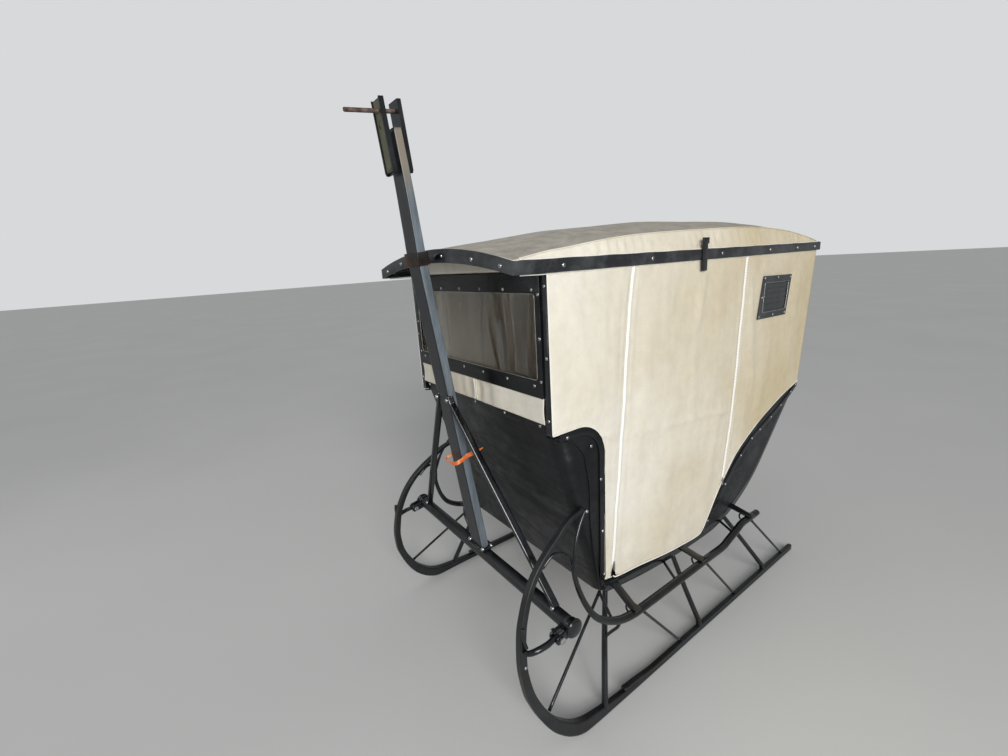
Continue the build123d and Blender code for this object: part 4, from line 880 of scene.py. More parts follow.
class SLEIGH_OT_roof(bpy.types.Operator):
    """Stretches the roof canvas over its bows and down to the rails, with its two shoulder seams"""

    bl_idname = "sleigh.roof"
    bl_label = "Roof canvas"

    def execute(self, context):
        cloth = context.scene.sleigh_cloth
        y = np.linspace(-799.5, 931.5, 330)
        shoulder, crown = through(SHOULDER, 400), through(CROWN, 400)
        high = np.interp(y, shoulder[:, 0], shoulder[:, 1])
        top = np.interp(y, crown[:, 0], crown[:, 1])
        inset = 0.3 * (high - 1443)
        rim = 401.4
        low = np.linspace(0, 1, 14)
        strip_x = rim - inset[:, None] * low[None]
        strip_z = 1443 + (high[:, None] - 1443) * low[None]
        pucker = (
            3.0 * np.sin(y / 7.1 + 2.2 * np.sin(y / 61)) * (0.6 + 0.4 * np.sin(y / 97))
            + 1.6 * np.sin(y / 29 + np.sin(y / 140))
        )
        strip_x = (
            strip_x
            + pucker[:, None] * np.sin(np.pi * low)[None] * np.clip((high - 1446) / 30, 0, 1)[:, None]
        )
        share = np.cos(np.linspace(0, np.pi / 2, 38))[1:]
        across = (rim - inset)[:, None] * share[None]
        arch = high[:, None] + (top - high)[:, None] * (1 - share[None] ** 2)
        span = np.min(np.abs(y[:, None] - np.array([-800, *BOWS, 932])[None]), 1)
        sag = np.clip(span / 216, 0, 1) ** 0.8 * 4.0
        slack = 1.8 * np.sin(
            y[:, None] / 31 + share[None] * 9 + 1.5 * np.sin(y[:, None] / 71)
        ) * share[None] ** 2
        slack = slack + 0.9 * np.sin(y[:, None] / 8.3 + 1.5 * np.sin(y[:, None] / 57)) * share[None] ** 14
        arch = (
            arch
            - (sag[:, None] * (1 - share[None] ** 4))
            + slack * np.clip((high - 1446) / 20, 0, 1)[:, None] * (1 - share[None] ** 6)
        )
        tuck = np.stack([np.full_like(y, rim), np.full_like(y, 1430)], -1)[:, None]
        half = np.concatenate([tuck, np.stack([strip_x, strip_z], -1), np.stack([across, arch], -1)], 1)
        whole = np.concatenate([half, half[:, -2::-1] * (-1, 1)], 1)
        grid = np.stack([whole[..., 0], np.broadcast_to(y[:, None], whole.shape[:2]), whole[..., 1]], -1)
        # the roof's cloth carries painted shade on its top as well as dust
        made = piece(
            "roof_cover",
            grid,
            finished(cotton_duck, "roof_cotton_duck", dusted=True),
            slot="canvas",
            facing=(0, 0, 1),
        )
        thickened(made, cloth.thickness)
        inner, seams = y[4:-4], []
        bound = finished(cotton_duck, "bound_canvas_hem", plain=True)
        for side_name, side in SIDES.items():
            seam = np.stack([side * (rim - inset[4:-4] + 0.5), inner, high[4:-4] + 0.6], -1)
            for label, x, z in (("above", 402.4, 1445.2), ("below", 401.6, 1407.6)):
                hem = np.stack([np.full_like(inner, side * x), inner, z + 0.7 * np.sin(inner / 26)], -1)
                seams.append(
                    piece(
                        f"rail_hem_{label}_{side_name}", carried(ring(1.5, 6), hem, (side, 0, 0)), bound,
                        slot="canvas", closed=True, ends=True,
                    )
                )
            seams.append(
                piece(
                    f"roof_seam_{side_name}", carried(ring(1.9, 8), seam, (side, 0, 1)),
                    finished(cotton_duck), slot="canvas", closed=True, ends=True,
                )
            )
        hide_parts("roof_canvas")
        return {"FINISHED"}


def box_loop(across, low, high, radius, count=9):
    """Corner points of an upright rectangle with rounded corners, x and z, round from its lower right."""
    turn = np.linspace(0, np.pi / 2, count)
    arc = radius * np.stack([np.cos(turn), np.sin(turn)], -1)
    spin = np.array([[0, 1], [-1, 0]])
    corners = (
        (across - radius, high - radius),
        (radius - across, high - radius),
        (radius - across, low + radius),
        (across - radius, low + radius),
    )
    return np.concatenate(
        [arc @ np.linalg.matrix_power(spin, k) + np.array(corner) for k, corner in enumerate(corners)]
    )


def on_wall(loop, y, lean=0.0, foot=0.0):
    """Stands a loop of x and z on the wall at y, which leans by lean for each millimetre above foot."""
    return np.stack([loop[:, 0], y + lean * (loop[:, 1] - foot), loop[:, 1]], -1)


class SLEIGH_OT_front(bpy.types.Operator):
    """Fits the clear windscreen, the black strips round it, and the canvas flap below"""

    bl_idname = "sleigh.front"
    bl_label = "Front"

    def execute(self, context):
        cloth = context.scene.sleigh_cloth
        canvas, bound = finished(cotton_duck), finished(cotton_duck, "bound_canvas_hem", plain=True)
        strip = finished(coated_black, "glossy_black_strip", (0.12, 0.3))
        outer = on_wall(box_loop(373, 1071, 1414, 4), -690.5)
        inner = on_wall(box_loop(353, 1121, 1358, 10), -690.5)
        border = surround("windscreen_frame", outer, inner, (0, -6.5, 0), strip)
        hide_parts("windscreen_border", "header_strip")
        x, z = np.meshgrid(np.linspace(-357, 357, 120), np.linspace(1117, 1362, 60))
        slack = (
            2.2
            * np.sin(x / 38 + np.sin(z / 90))
            * np.sin(np.pi * (x + 357) / 714)
            * np.sin(np.pi * (z - 1117) / 245)
        )
        pane = piece(
            "windscreen_sheet",
            np.stack([x, -690.0 + slack, z], -1),
            finished(clear_sheet),
            slot="clear_vinyl",
            facing=(0, -1, 0),
        )
        thickened(pane, 0.0008)
        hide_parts("windscreen_pane")
        # painted highlight: a bright plated bead round the pane's edge stands for the highlight on the clear
        # vinyl's edge
        edge = on_wall(box_loop(352, 1122, 1357, 10), -696.6)
        piece(
            "windscreen_edge_highlight",
            carried(ring(1.3, 6), np.concatenate([edge, edge[:1]]), (0, 1, 0.001)),
            finished(zinc_plate),
            slot="bright_steel",
            closed=True,
        )
        x, z = np.meshgrid(np.linspace(-372.5, 372.5, 220), np.linspace(996, 1073, 24))
        gather = (
            2.2
            * np.sin(x / 11 + 1.7 * np.sin(x / 57))
            * (0.5 + 0.5 * np.sin(x / 83 + 1))
            * np.sin(np.pi * (z - 985) / 100)
        )
        sag = 3.0 * np.sin(x / 34 - z / 30) * np.sin(np.pi * (z - 990) / 90)
        apron = piece(
            "apron_canvas",
            np.stack([x, -694.5 - gather - sag, z], -1),
            canvas,
            slot="canvas",
            facing=(0, -1, 0),
        )
        thickened(apron, cloth.thickness)
        x, z = np.meshgrid(np.linspace(-1, 1, 12), np.linspace(1002, 1070, 16))
        waist = 10.5 - 5.5 * np.cos((z - 1036) / 34 * np.pi / 2)
        flap = piece(
            "apron_flap",
            np.stack([29.5 + x * waist, -700.5 - 2.0 * x**2, z], -1),
            bound,
            slot="canvas",
            facing=(0, -1, 0),
        )
        thickened(flap, cloth.thickness)
        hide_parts("front_apron")
        x, share = np.meshgrid(np.linspace(-385, 385, 90), np.linspace(0, 1, 10))
        under = 1457 + 42 * (1 - (x / 395) ** 2)
        gable = np.stack(
            [x, -695.5 - 1.5 * np.sin(x / 29) * np.sin(np.pi * share), 1416 + share * (under - 1416)], -1
        )
        closing = piece("gable_canvas", gable, canvas, slot="canvas", facing=(0, -1, 0))
        thickened(closing, cloth.thickness)
        return {"FINISHED"}


class SLEIGH_OT_rear(bpy.types.Operator):
    """Hangs the rear curtain with its clear window and the black binding round it"""

    bl_idname = "sleigh.rear"
    bl_label = "Rear curtain"

    def execute(self, context):
        cloth = context.scene.sleigh_cloth
        lean, foot = 72 / 613, 823
        rim, window = box_loop(396, 824, 1435, 3), box_loop(206, 1140, 1321, 30)
        share = np.linspace(0, 1, 44)[:, None, None]
        loops = np.stack([evenly(np.concatenate([loop, loop[:1]]), 261)[:-1] for loop in (rim, window)])
        flat = loops[0][None] + share * (loops[1] - loops[0])[None]
        flat = np.concatenate([flat, flat[:, :1]], 1)
        hold = np.sin(np.pi * share[..., 0]) ** 0.6
        ripple = (
            2.2 * np.sin(flat[..., 0] / 41 + flat[..., 1] / 190)
            + 1.4 * np.sin(flat[..., 1] / 33 + flat[..., 0] / 75)
        )
        y = 864.5 + lean * (flat[..., 1] - foot) + 1.2 + hold * (ripple + 2.5)
        grid = np.stack([flat[..., 0], y, flat[..., 1]], -1)
        made = piece("rear_curtain_canvas", grid, finished(cotton_duck), slot="canvas", facing=(0, 1, 0))
        thickened(made, cloth.thickness)
        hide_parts("rear_curtain")
        strip = finished(coated_black, "glossy_black_strip", (0.12, 0.3))
        outer = on_wall(box_loop(224, 1122, 1339, 36), 867.5, lean, foot)
        inner = on_wall(box_loop(200, 1146, 1315, 26), 867.5, lean, foot)
        surround("rear_window_binding", outer, inner, (0, 2.2, 0), strip)
        x, z = np.meshgrid(np.linspace(-209, 209, 60), np.linspace(1137, 1324, 40))
        pane = piece(
            "rear_window_sheet",
            np.stack([x, 866.2 + lean * (z - foot), z], -1),
            finished(clear_sheet),
            slot="clear_vinyl",
            facing=(0, 1, 0),
        )
        thickened(pane, 0.0008)
        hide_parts("rear_light")
        return {"FINISHED"}


# The black tub and its trims

QUARTER_TRIM = [
    (92, 330), (131, 366), (190, 425), (254, 487), (312, 540), (369, 581), (457, 634), (524, 657), (622, 690),
    (710, 725), (803, 769), (856, 800),
]
DASH_SEAM = [
    (-684, 948), (-657, 943), (-608, 922), (-572, 878), (-563, 839), (-550, 758), (-548, 640), (-528, 500),
    (-506, 372),
]


class SLEIGH_OT_tub_trims(bpy.types.Operator):
    """Lays the black trims of the quarters, the seam of the dash and the louvred vents"""

    bl_idname = "sleigh.tub_trims"
    bl_label = "Tub trims and vents"

    def execute(self, context):
        strip = finished(coated_black, "glossy_black_strip", (0.12, 0.3))
        trim = [(400.2, y, z, 24, 3.4) for y, z in QUARTER_TRIM]
        bar("quarter_trims", trim, strip, slab(0.3), (1, 0, 0), 120)
        welt = [(399.2, y, z, 2.4) for y, z in DASH_SEAM]
        bar("dash_welts", welt, strip, up=(1, 0, 0), count=90)
        low, high = np.array([(440, 1176), (650, 1172)]), np.array([(452, 1303), (664, 1298)])
        share, across = np.linspace(0, 1, 81), np.linspace(0, 1, 24)
        flat = ruled(evenly(low, 24), evenly(high, 24), share)
        step = np.clip((share - 0.1) / 0.8, 0, 1) * 5 % 1.0
        inside = np.clip(20 * (0.46 - np.abs(across - 0.5)), 0, 1)
        grid = np.stack([401.8 + 5.4 * step[:, None] * inside[None], flat[..., 0], flat[..., 1]], -1)
        louvre = finished(brushed_enamel, "grey_baked_enamel", 0.8, (0.45, 0.6), "2C2F31", "484C4E")
        vents = piece("vent_louvres", np.stack([grid, grid * (-1, 1, 1)]), louvre)
        thickened(vents, 0.0008, 0.0)
        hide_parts("vent_panes")
        outer = np.array([(404, 411, 1157), (404, 655, 1152), (404, 685, 1319), (404, 442, 1326)])
        inner = np.array([(404, 446, 1181), (404, 645, 1177), (404, 659, 1293), (404, 453, 1298)])
        corner = np.linspace(0, 1, 9)[:-1, None]
        rims = [
            np.concatenate([a + corner * (b - a) for a, b in zip(loop, np.roll(loop, -1, 0))])
            for loop in (outer, inner)
        ]
        for name, side in SIDES.items():
            frame_piece = surround(
                f"vent_frame_{name}",
                rims[0] * (side, 1, 1),
                rims[1] * (side, 1, 1),
                (side * 2.8, 0, 0),
                louvre,
            )
            if side > 0:
                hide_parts("vent_frames")
        # painted highlight: a bright plated bead round each vent's inner edge stands for the highlight along
        # that edge
        highlight_line = evenly(np.concatenate([inner, inner[:1]]) + (2.6, 0, 0), 121)
        highlight_rims = carried(ring(1.4, 6), highlight_line, (1, 0, 0))
        piece(
            "vent_edge_highlights",
            np.stack([highlight_rims, highlight_rims * (-1, 1, 1)]),
            finished(zinc_plate),
            slot="bright_steel",
            closed=True,
        )
        foot = [(385.5, -679.3, 1002, 25, 25), (385.5, -679.3, 960, 25, 25)]
        bar("post_feet", foot, finish_by_name("gloss"), slab(0.06), (0, -1, 0), 4)
        return {"FINISHED"}


# Runners, rails and struts: x, y, z, then the size across and along

LEAN = 0.1405
RUNNER = (
    # x, y, z, depth, width
    (490, 735, 1.8, 17, 18), (490, 300, 1.8, 17, 18), (490, -300, 1.8, 18, 18),
    (489.5, -440, 1.8, 21, 19), (488.5, -560, 2.2, 28, 21), (487, -640, 2.6, 36, 24),
    (485.2, -693, 7, 41, 26), (481.6, -743, 31, 40, 26), (475.9, -788, 72, 37, 26),
    (470, -819, 114, 33, 26), (462.8, -846, 165, 30, 26), (456.9, -863, 207, 28, 26),
    (450.9, -876, 250, 27, 26), (441, -883, 320, 24, 26), (433.3, -879, 375, 23, 26),
    (424.2, -867, 440, 21, 25), (417.2, -848, 490, 20, 24), (410.4, -823, 538, 19, 23),
    (404, -786, 584, 18, 22), (398.6, -740, 622, 17, 21), (394.1, -689, 654, 16, 20),
    (390.6, -652, 679, 15, 18), (388.8, -618, 692, 14, 17), (387.5, -575, 701, 13, 16),
    (387.1, -556, 704, 12, 15),
)
DOUBLER = [
    (488, -499, 35, 8, 17), (488, -492, 34.5, 10, 19), (488, -440, 31, 10, 19), (489, -380, 25, 10, 18),
    (489, -340, 22, 9, 18), (489, 700, 21.5, 9, 18), (489, 733, 21.5, 9, 18), (489, 740, 21.5, 5, 14),
]
RAIL = [
    (477, 385, 336, 13), (477, 330, 336, 14), (477, 262, 336, 14), (480, 215, 327, 14), (482, 150, 310, 14),
    (484, 100, 300, 14), (484, 0, 300, 14), (484, -200, 300, 14), (484, -380, 300, 14), (484, -450, 303, 14),
    (482, -505, 313, 13), (477, -557, 336, 12), (471, -603, 371, 11), (461, -635, 423, 9.5),
    (450, -655, 483, 8.5),
    (441, -663, 535, 7.5), (436, -660, 561, 7), (431, -651, 589, 6.5), (427, -645, 608, 6),
    (421, -630, 641, 5.5),
    (415, -607, 676, 5), (410, -581, 705, 4.5),
]
NOSE_ARCH = [
    (403, -752, 580, 5), (405, -718, 605, 5), (410, -693, 606, 5), (418, -675, 594, 5), (425, -664, 571, 5),
    (432, -661, 542, 5), (438, -661, 515, 5),
]
STRUTS = (
    [
        (384, -468, 380, 12),
        (386, -470, 362, 9),
        (434, -528, 200, 10),
        (482, -582, 44, 10.5),
        (486.5, -586, 24, 12),
    ],
    [(384, -90, 312, 12), (388, -87, 298, 9), (434, -68, 170, 9.5), (484, -48, 44, 10), (487, -47, 24, 11.5)],
    [(384, 268, 346, 12), (388, 274, 326, 9), (434, 366, 188, 9.5), (484, 458, 44, 10), (487, 462, 24, 11.5)],
)
STAYS = (
    [(386, -496, 356), (464.5, -803, 153)],
    [(484, -400, 290), (488, -171, 24)],
    [(484, -20, 290), (488, 215, 24)],
    [(478, 330, 325), (488, 640, 24)],
    [(386, -500, 356), (479, -540, 328)],
    [(398, -160, 313), (482, -205, 303)],
    [(398, 229, 324), (474, 192, 322)],
)
SCROLL = [(482, -505, 305), (476, -514, 284), (460, -521, 262), (444, -521, 238), (431, -519, 217)]


class SLEIGH_OT_undercarriage(bpy.types.Operator):
    """Bends the runners, side rails, arches, struts and stays, and clips the rails to their outriggers"""

    bl_idname = "sleigh.undercarriage"
    bl_label = "Undercarriage"

    def execute(self, context):
        gloss, worn = finish_by_name("gloss"), finish_by_name("worn")
        bright = finished(zinc_plate)
        lean = np.array([np.cos(np.radians(8)), 0, np.sin(np.radians(8))])
        left = bar("runners", RUNNER, worn, slab(0.14) + (0.5, 0), lean, 260)
        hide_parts("runner_left", "runner_right")
        doubler = bar("runner_doubler_straps", DOUBLER, worn, slab(0.2), (1, 0, 0), 140, curve=evenly)
        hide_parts("runner_doublers")
        rails = bar("side_rails", RAIL, gloss, ring(1.0, 16), (1, 0, 0), 200)
        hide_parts("side_rail_left", "side_rail_right")
        bar("nose_arches", NOSE_ARCH, gloss, ring(1.0, 10), (1, 0, 0), 50)
        struts = [
            bar(f"strut_pair_{k + 1}", rows, gloss, ring(1.0, 16), (1, 0, 0), 70, curve=evenly)
            for k, rows in enumerate(STRUTS)
        ]
        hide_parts("struts")
        stays = [
            bar(
                f"stay_pair_{k + 1}", [(*point, 5.2) for point in ends], gloss, ring(1.0, 10), (1, 0.1, 0), 16
            )
            for k, ends in enumerate(STAYS)
        ]
        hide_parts("stays")
        bar("stay_scrolls", [(*point, 5) for point in SCROLL], gloss, ring(1.0, 10), (1, 0, 0), 40)
        turn = np.linspace(0, 2 * np.pi, 33)
        for k, (x, y, z) in enumerate(((484, -435, 302), (484, -50, 300), (478, 310, 336))):
            loop = [(x - 17 + 20 * np.cos(t), y, z + 19 * np.sin(t) - 2, 3.5) for t in turn]
            bar(f"rail_clip_pair_{k + 1}", loop, gloss, ring(1.0, 8), (0, 1, 0), 40)
        tips = [(418, -583, 703), (-418, -583, 703)]
        domes("rail_tip_screws", tips, [(1, 0, 0), (-1, 0, 0)], 6, 4, bright)
        for side_name, side in SIDES.items():
            x = side * (486 - LEAN * 342 + 12)
            domes(f"runner_bolt_{side_name}", [(x, -867, 342)], [(side, 0, 0)], 6, 4, bright)
            bar(
                f"tip_peg_{side_name}",
                [(side * 417, -583, 703, 4), (side * 392, -583, 703, 4)],
                gloss,
                up=(0, 0, 1),
                count=6,
                both=False,
            )
        return {"FINISHED"}


# Coupling, pole and braces

HINGE_IRON = [
    (447, -866, 394, 6), (456, -858, 390, 8), (468, -838, 396, 9), (474, -808, 400, 9), (473, -785, 402, 8.5),
    (472, -765, 403, 8),
]
CAP = [(469, 22.4), (470, 25), (484, 25), (485, 29.5), (491, 29), (495.5, 23), (498, 12), (498.8, 0.4)]
POLE = [
    (0, -716, 430, 76, 31), (0, -735, 572, 75, 31), (0, -760, 764, 74, 30), (0, -804, 1100, 74, 30),
    (0, -846, 1430, 74, 30), (0, -857, 1550, 72, 28), (0, -867, 1668, 68, 26), (0, -881, 1814, 60, 25),
]
BRACE = [
    (412, -715, 430, 13, 27), (404, -717, 446, 12, 26), (288, -744, 626, 12, 25), (140, -778, 854, 12, 24),
    (36, -801, 1016, 12, 24), (30, -803, 1040, 12, 22),
]
TWINE = [
    (-14, -802, 786, 3), (-4, -803, 788, 8), (16, -803, 793, 12), (39, -802, 803, 14), (43, -786, 809, 15),
    (43, -768, 817, 15), (54, -755, 826, 15), (68, -744, 836, 11), (82, -735, 845, 6), (92, -729, 853, 2),
]


class SLEIGH_OT_coupling(bpy.types.Operator):
    """Makes the crossbar with its caps, the hinge ears, bolts and bent irons"""

    bl_idname = "sleigh.coupling"
    bl_label = "Crossbar and hinges"

    def execute(self, context):
        gloss, worn, bright = finish_by_name("gloss"), finish_by_name("worn"), finished(zinc_plate)
        moving = body_of(frame["nodes"]["crossbar"])[0]
        pipe = bar(
            "crossbar_pipe",
            [(-470, -715, 411, 22), (-160, -715, 411, 22), (160, -715, 411, 22), (470, -715, 411, 22)],
            worn,
            ring(1.0, 28),
            (0, 0, 1),
            60,
            both=False,
            body=moving,
        )
        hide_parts("crossbar")
        caps = bar(
            "crossbar_end_caps", [(x, -715, 411, r) for x, r in CAP], gloss, ring(1.0, 28), (0, 0, 1), 40,
            curve=evenly, body=moving,
        )
        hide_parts("crossbar_caps")
        for k, x in enumerate((459, 485)):
            plate = [
                (x, -722, 408, 7, 30),
                (x, -752, 404, 7, 30),
                (x, -770, 401, 7, 29),
                (x, -778, 399.8, 7, 22),
                (x, -782, 399.2, 7, 8),
            ]
            bar(f"hinge_ear_pair_{k + 1}", plate, gloss, slab(0.2), (0, 0, 1), 24, body=moving)
        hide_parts("hinge_ears")
        bolt = bar(
            "hinge_bolt_shanks", [(450, -764.5, 402.7, 6), (496, -764.5, 402.7, 6)], bright, up=(0, 0, 1),
            count=4, body=moving, slot="bright_steel",
        )
        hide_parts("hinge_bolts")
        for name, rows in (
            ("outer", [(489, 9.5), (490, 11), (496, 11), (497, 9.5)]),
            ("inner", [(447, 9.5), (448, 11), (454.5, 11), (455.5, 9.5)]),
        ):
            made = bar(
                f"hinge_nuts_{name}", [(x, -764.5, 402.7, r) for x, r in rows], bright, ring(1.0, 6),
                (0, 0, 1), 12, curve=evenly, body=moving, slot="bright_steel",
            )
            made.data.polygons.foreach_set("use_smooth", np.zeros(len(made.data.polygons), bool))
        irons = bar("hinge_irons_bent", HINGE_IRON, gloss, ring(1.0, 14), (1, 0, 0.2), 60)
        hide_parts("hinge_iron_left", "hinge_iron_right")
        bar(
            "hinge_iron_stays",
            [(440, -862, 462, 5), (442, -864, 435, 5), (450, -860, 404, 5)],
            gloss,
            ring(1.0, 10),
            (1, 0, 0.2),
            30,
        )
        return {"FINISHED"}


class SLEIGH_OT_pole(bpy.types.Operator):
    """Stands the pole on its crossbar with its two braces, foot bolts and the twine tied round it"""

    bl_idname = "sleigh.pole"
    bl_label = "Pole and braces"

    def execute(self, context):
        gloss, bright = finish_by_name("gloss"), finished(zinc_plate)
        moving = body_of(frame["nodes"]["pole"])[0]
        # 6A747B paints light on the pole's lit +X face, mixed with rubbed streaks
        rubbed = finished(
            brushed_enamel, "rubbed_pole_enamel", 0.74, (0.28, 0.5), "0C0E12", "2A3036", (6.0, 6.0, 0.7),
            "6A747B",
        )
        pole = bar("pole_bar", POLE, rubbed, slab(0.1), (0, -1, 0), 120, both=False, body=moving)
        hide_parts("pole")
        foot = [
            (0, -715, 431, 92, 46), (0, -715, 434, 96, 50), (0, -715, 440, 96, 50), (0, -716, 443, 90, 44)
        ]
        bar("pole_foot_plate", foot, gloss, slab(0.1), (0, -1, 0), 10, both=False, body=moving)
        braces = bar("pole_brace_straps", BRACE, gloss, slab(0.24), (0, -1, 0), 80, curve=evenly, body=moving)
        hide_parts("pole_braces")
        domes(
            "brace_bolts",
            [(33, -816, 1024), (-33, -816, 1024), (412, -730, 436), (-412, -730, 436)],
            (0, -1, 0.2),
            7,
            5,
            bright,
            moving,
        )
        domes(
            "pole_foot_bolts",
            [(43, -733, 444), (-43, -733, 444), (43, -697, 444), (-43, -697, 444)],
            (0, 0, 1),
            8,
            7,
            bright,
            moving,
        )
        ribbon = [(*point[:3], 0.9, point[3]) for point in TWINE]
        bar("twine_tie", ribbon, finished(flat_twine), slab(0.3), (0, 0, 1), 90, both=False, body=moving)
        turn = [
            (-10, -802, 788, 0.9, 8), (-38, -802, 792, 0.9, 9), (-40, -783, 800, 0.9, 10),
            (-38, -764, 806, 0.9, 10), (0, -763, 812, 0.9, 10), (40, -764, 816, 0.9, 11),
        ]
        bar("twine_turn", turn, finished(flat_twine), slab(0.3), (0, 0, 1), 60, both=False, body=moving)
        limb = np.array(
            [
                (-0.5, -0.5), (0.5, -0.5), (0.5, 0.5), (0.42, 0.5), (0.42, -0.1), (-0.42, -0.1), (-0.42, 0.5),
                (-0.5, 0.5),
            ]
        )
        channels = [
            [(0, -918, 1886, 55, 14), (0, -900, 1702, 55, 14), (0, -899, 1697, 48, 8)],
            [(0, -868, 1886, 55, -12), (0, -851, 1706, 55, -12), (0, -850.5, 1701, 48, -8)],
        ]
        forks = [
            bar(
                f"fork_channel_{name}", rows, gloss, limb, (0, -1, 0), 30, both=False, curve=evenly,
                body=moving,
            )
            for name, rows in zip(("front", "rear"), channels)
        ]
        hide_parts("fork_channels")
        for fork in forks:
            fork.data.polygons.foreach_set("use_smooth", np.zeros(len(fork.data.polygons), bool))
        # a greenish grey strip lies on the web inside the front channel
        lining = [(0, -921, 1884, 46, 1), (0, -903, 1704, 46, 1)]
        bar(
            "fork_channel_lining",
            lining,
            finished(brushed_enamel, "old_green_primer", 0.6, (0.5, 0.7), "4A4B38", "6E6F55"),
            slab(0.2),
            (0, -1, 0),
            12,
            both=False,
            curve=evenly,
            body=moving,
        )
        pin = bar(
            "fork_pin_rod",
            [(0, -1012, 1849, 5), (0, -1010.5, 1849.2, 5.8), (0, -930, 1856, 5.8), (0, -862, 1862, 5.8)],
            finished(rusted_steel),
            ring(1.0, 16),
            (1, 0, 0),
            60,
            both=False,
            curve=evenly,
            body=moving,
            slot="rusty_steel",
        )
        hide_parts("fork_pin")
        return {"FINISHED"}


# Seat


class SLEIGH_OT_seat(bpy.types.Operator):
    """Stuffs the seat and back cushions in their vinyl covers"""

    bl_idname = "sleigh.seat"
    bl_label = "Seat cushions"

    def execute(self, context):
        for name, node in (("seat_pad", "seat_cushion"), ("back_pad", "seat_back_cushion")):
            source = frame["nodes"][node]
            mesh = source.data.copy()
            mesh.name = name
            work = bmesh.new()
            work.from_mesh(mesh)
            bmesh.ops.remove_doubles(work, verts=work.verts, dist=1e-5)
            middle = sum((v.co for v in work.verts), Vector()) / len(work.verts)
            for vert in work.verts:
                vert.co = middle + (vert.co - middle) * 0.93
            work.to_mesh(mesh)
            work.free()
            mesh.materials.clear()
            mesh.materials.append(finish_by_name("seat"))
            made = shown(name, mesh, body_of(source)[0])
            stuffed(made)
            made.data.polygons.foreach_set("use_smooth", np.ones(len(made.data.polygons), bool))
            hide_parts(node)
        return {"FINISHED"}


def stuffed(made):
    """Swells a pad as a cover does over its stuffing: an even mesh, then cloth under pressure with no
    weight, each point held to 20 mm from where it began."""
    scene = bpy.context.scene
    remesh = made.modifiers.new("even", "REMESH")
    remesh.mode, remesh.voxel_size = "VOXEL", 0.006
    settle(made, remesh)
    start = np.empty(3 * len(made.data.vertices))
    made.data.vertices.foreach_get("co", start)
    cloth = made.modifiers.new("stuffing", "CLOTH")
    cloth.settings.use_pressure, cloth.settings.uniform_pressure_force = True, 4.0
    cloth.settings.effector_weights.gravity = 0
    for now in range(1, 21):
        scene.frame_set(now)
    settle(made, cloth)
    scene.frame_set(1)
    end = np.empty_like(start)
    made.data.vertices.foreach_get("co", end)
    move = (end - start).reshape(-1, 3)
    far = np.linalg.norm(move, axis=1, keepdims=True)
    kept = start.reshape(-1, 3) + move * np.minimum(1, 0.020 / np.maximum(far, 1e-9))
    made.data.vertices.foreach_set("co", kept.ravel())


def settle(made, modifier):
    """Puts a modifier's result into the mesh and takes the modifier off."""
    shape = made.evaluated_get(bpy.context.evaluated_depsgraph_get())
    mesh = bpy.data.meshes.new_from_object(shape)
    made.modifiers.remove(modifier)
    made.data = mesh


# Irons and boards that keep the solid's shape, with softened edges

SOFTENED = (
    # node, finish, rounding of its edges
    ("outriggers", "gloss", 1.5),
    ("cross_beams", "gloss", 1.0),
    ("sills", "gloss", 1.5),
    ("doorway_trims", "strip", 1.0),
    ("front_posts", "gloss", 2.0),
    ("rear_posts", "gloss", 2.0),
    ("header", "gloss", 1.5),
    ("cab_top_rails", "gloss", 1.5),
    ("roof_side_rails", "rubbed", 1.2),
    ("roof_front_rail", "rubbed", 1.2),
    ("roof_rear_rail", "rubbed", 1.2),
    ("roof_hooks", "gloss", 0.8),
    ("strap_keeper", "gloss", 1.0),
    ("pole_strap", "leather", 1.5),
    ("quarter_panel_left", "dusty", 1.0),
    ("quarter_panel_right", "dusty", 1.0),
    ("dash", "fabric", 1.5),
    ("tub_back", "fabric", 1.0),
    ("tub_floor", "board", 1.0),
    ("seat_base", "board", 1.0),
    ("seat_back_board", "board", 1.0),
    ("roof_bows", "board", 1.0),
)


def finish_by_name(key):
    """The finish that the tables call by a short key."""
    makers = {
        "gloss": (brushed_enamel, ("brushed_black_enamel",)),
        "rubbed": (brushed_enamel, ("rubbed_roof_rail_enamel", 0.68, (0.3, 0.55), "1A1C1E", "4C5053")),
        "worn": (brushed_enamel, ("worn_black_enamel", 0.64, (0.3, 0.55))),
        "fabric": (coated_black, ("black_coated_fabric", (0.3, 0.52), None, None, 0.65)),
        "dusty": (coated_black, ("dusty_coated_fabric", (0.4, 0.6), "17181A", "333639", 0.65)),
        "strip": (coated_black, ("glossy_black_strip", (0.12, 0.3))),
        "leather": (coated_black, ("old_harness_leather", (0.4, 0.65), "171311", "6A4A34")),
        "board": (sawn_board, ()),
        "seat": (seat_cover, ()),
    }
    maker, args = makers[key]
    return finished(maker, *args)


class SLEIGH_OT_irons(bpy.types.Operator):
    """Copies each bar, strap and board with its edges softened, and gives it its finish"""

    bl_idname = "sleigh.irons"
    bl_label = "Irons and boards"

    def execute(self, context):
        for name, key, rounding in SOFTENED:
            node = frame["nodes"][name]
            mesh = node.data.copy()
            mesh.name = f"{name}_softened"
            work = bmesh.new()
            work.from_mesh(mesh)
            bmesh.ops.remove_doubles(work, verts=work.verts, dist=1e-5)
            bmesh.ops.dissolve_limit(work, angle_limit=np.radians(1.2), verts=work.verts, edges=work.edges)
            work.to_mesh(mesh)
            work.free()
            mesh.materials.clear()
            mesh.materials.append(finish_by_name(key))
            mesh.polygons.foreach_set("use_smooth", np.ones(len(mesh.polygons), bool))
            made = shown(f"{name}_softened", mesh, body_of(node)[0])
            bevel = made.modifiers.new("edges", "BEVEL")
            bevel.width, bevel.segments, bevel.limit_method = rounding / 1000, 2, "ANGLE"
            bevel.angle_limit, bevel.harden_normals, bevel.use_clamp_overlap = np.radians(35), True, True
            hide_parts(name)
        return {"FINISHED"}


# Fastenings

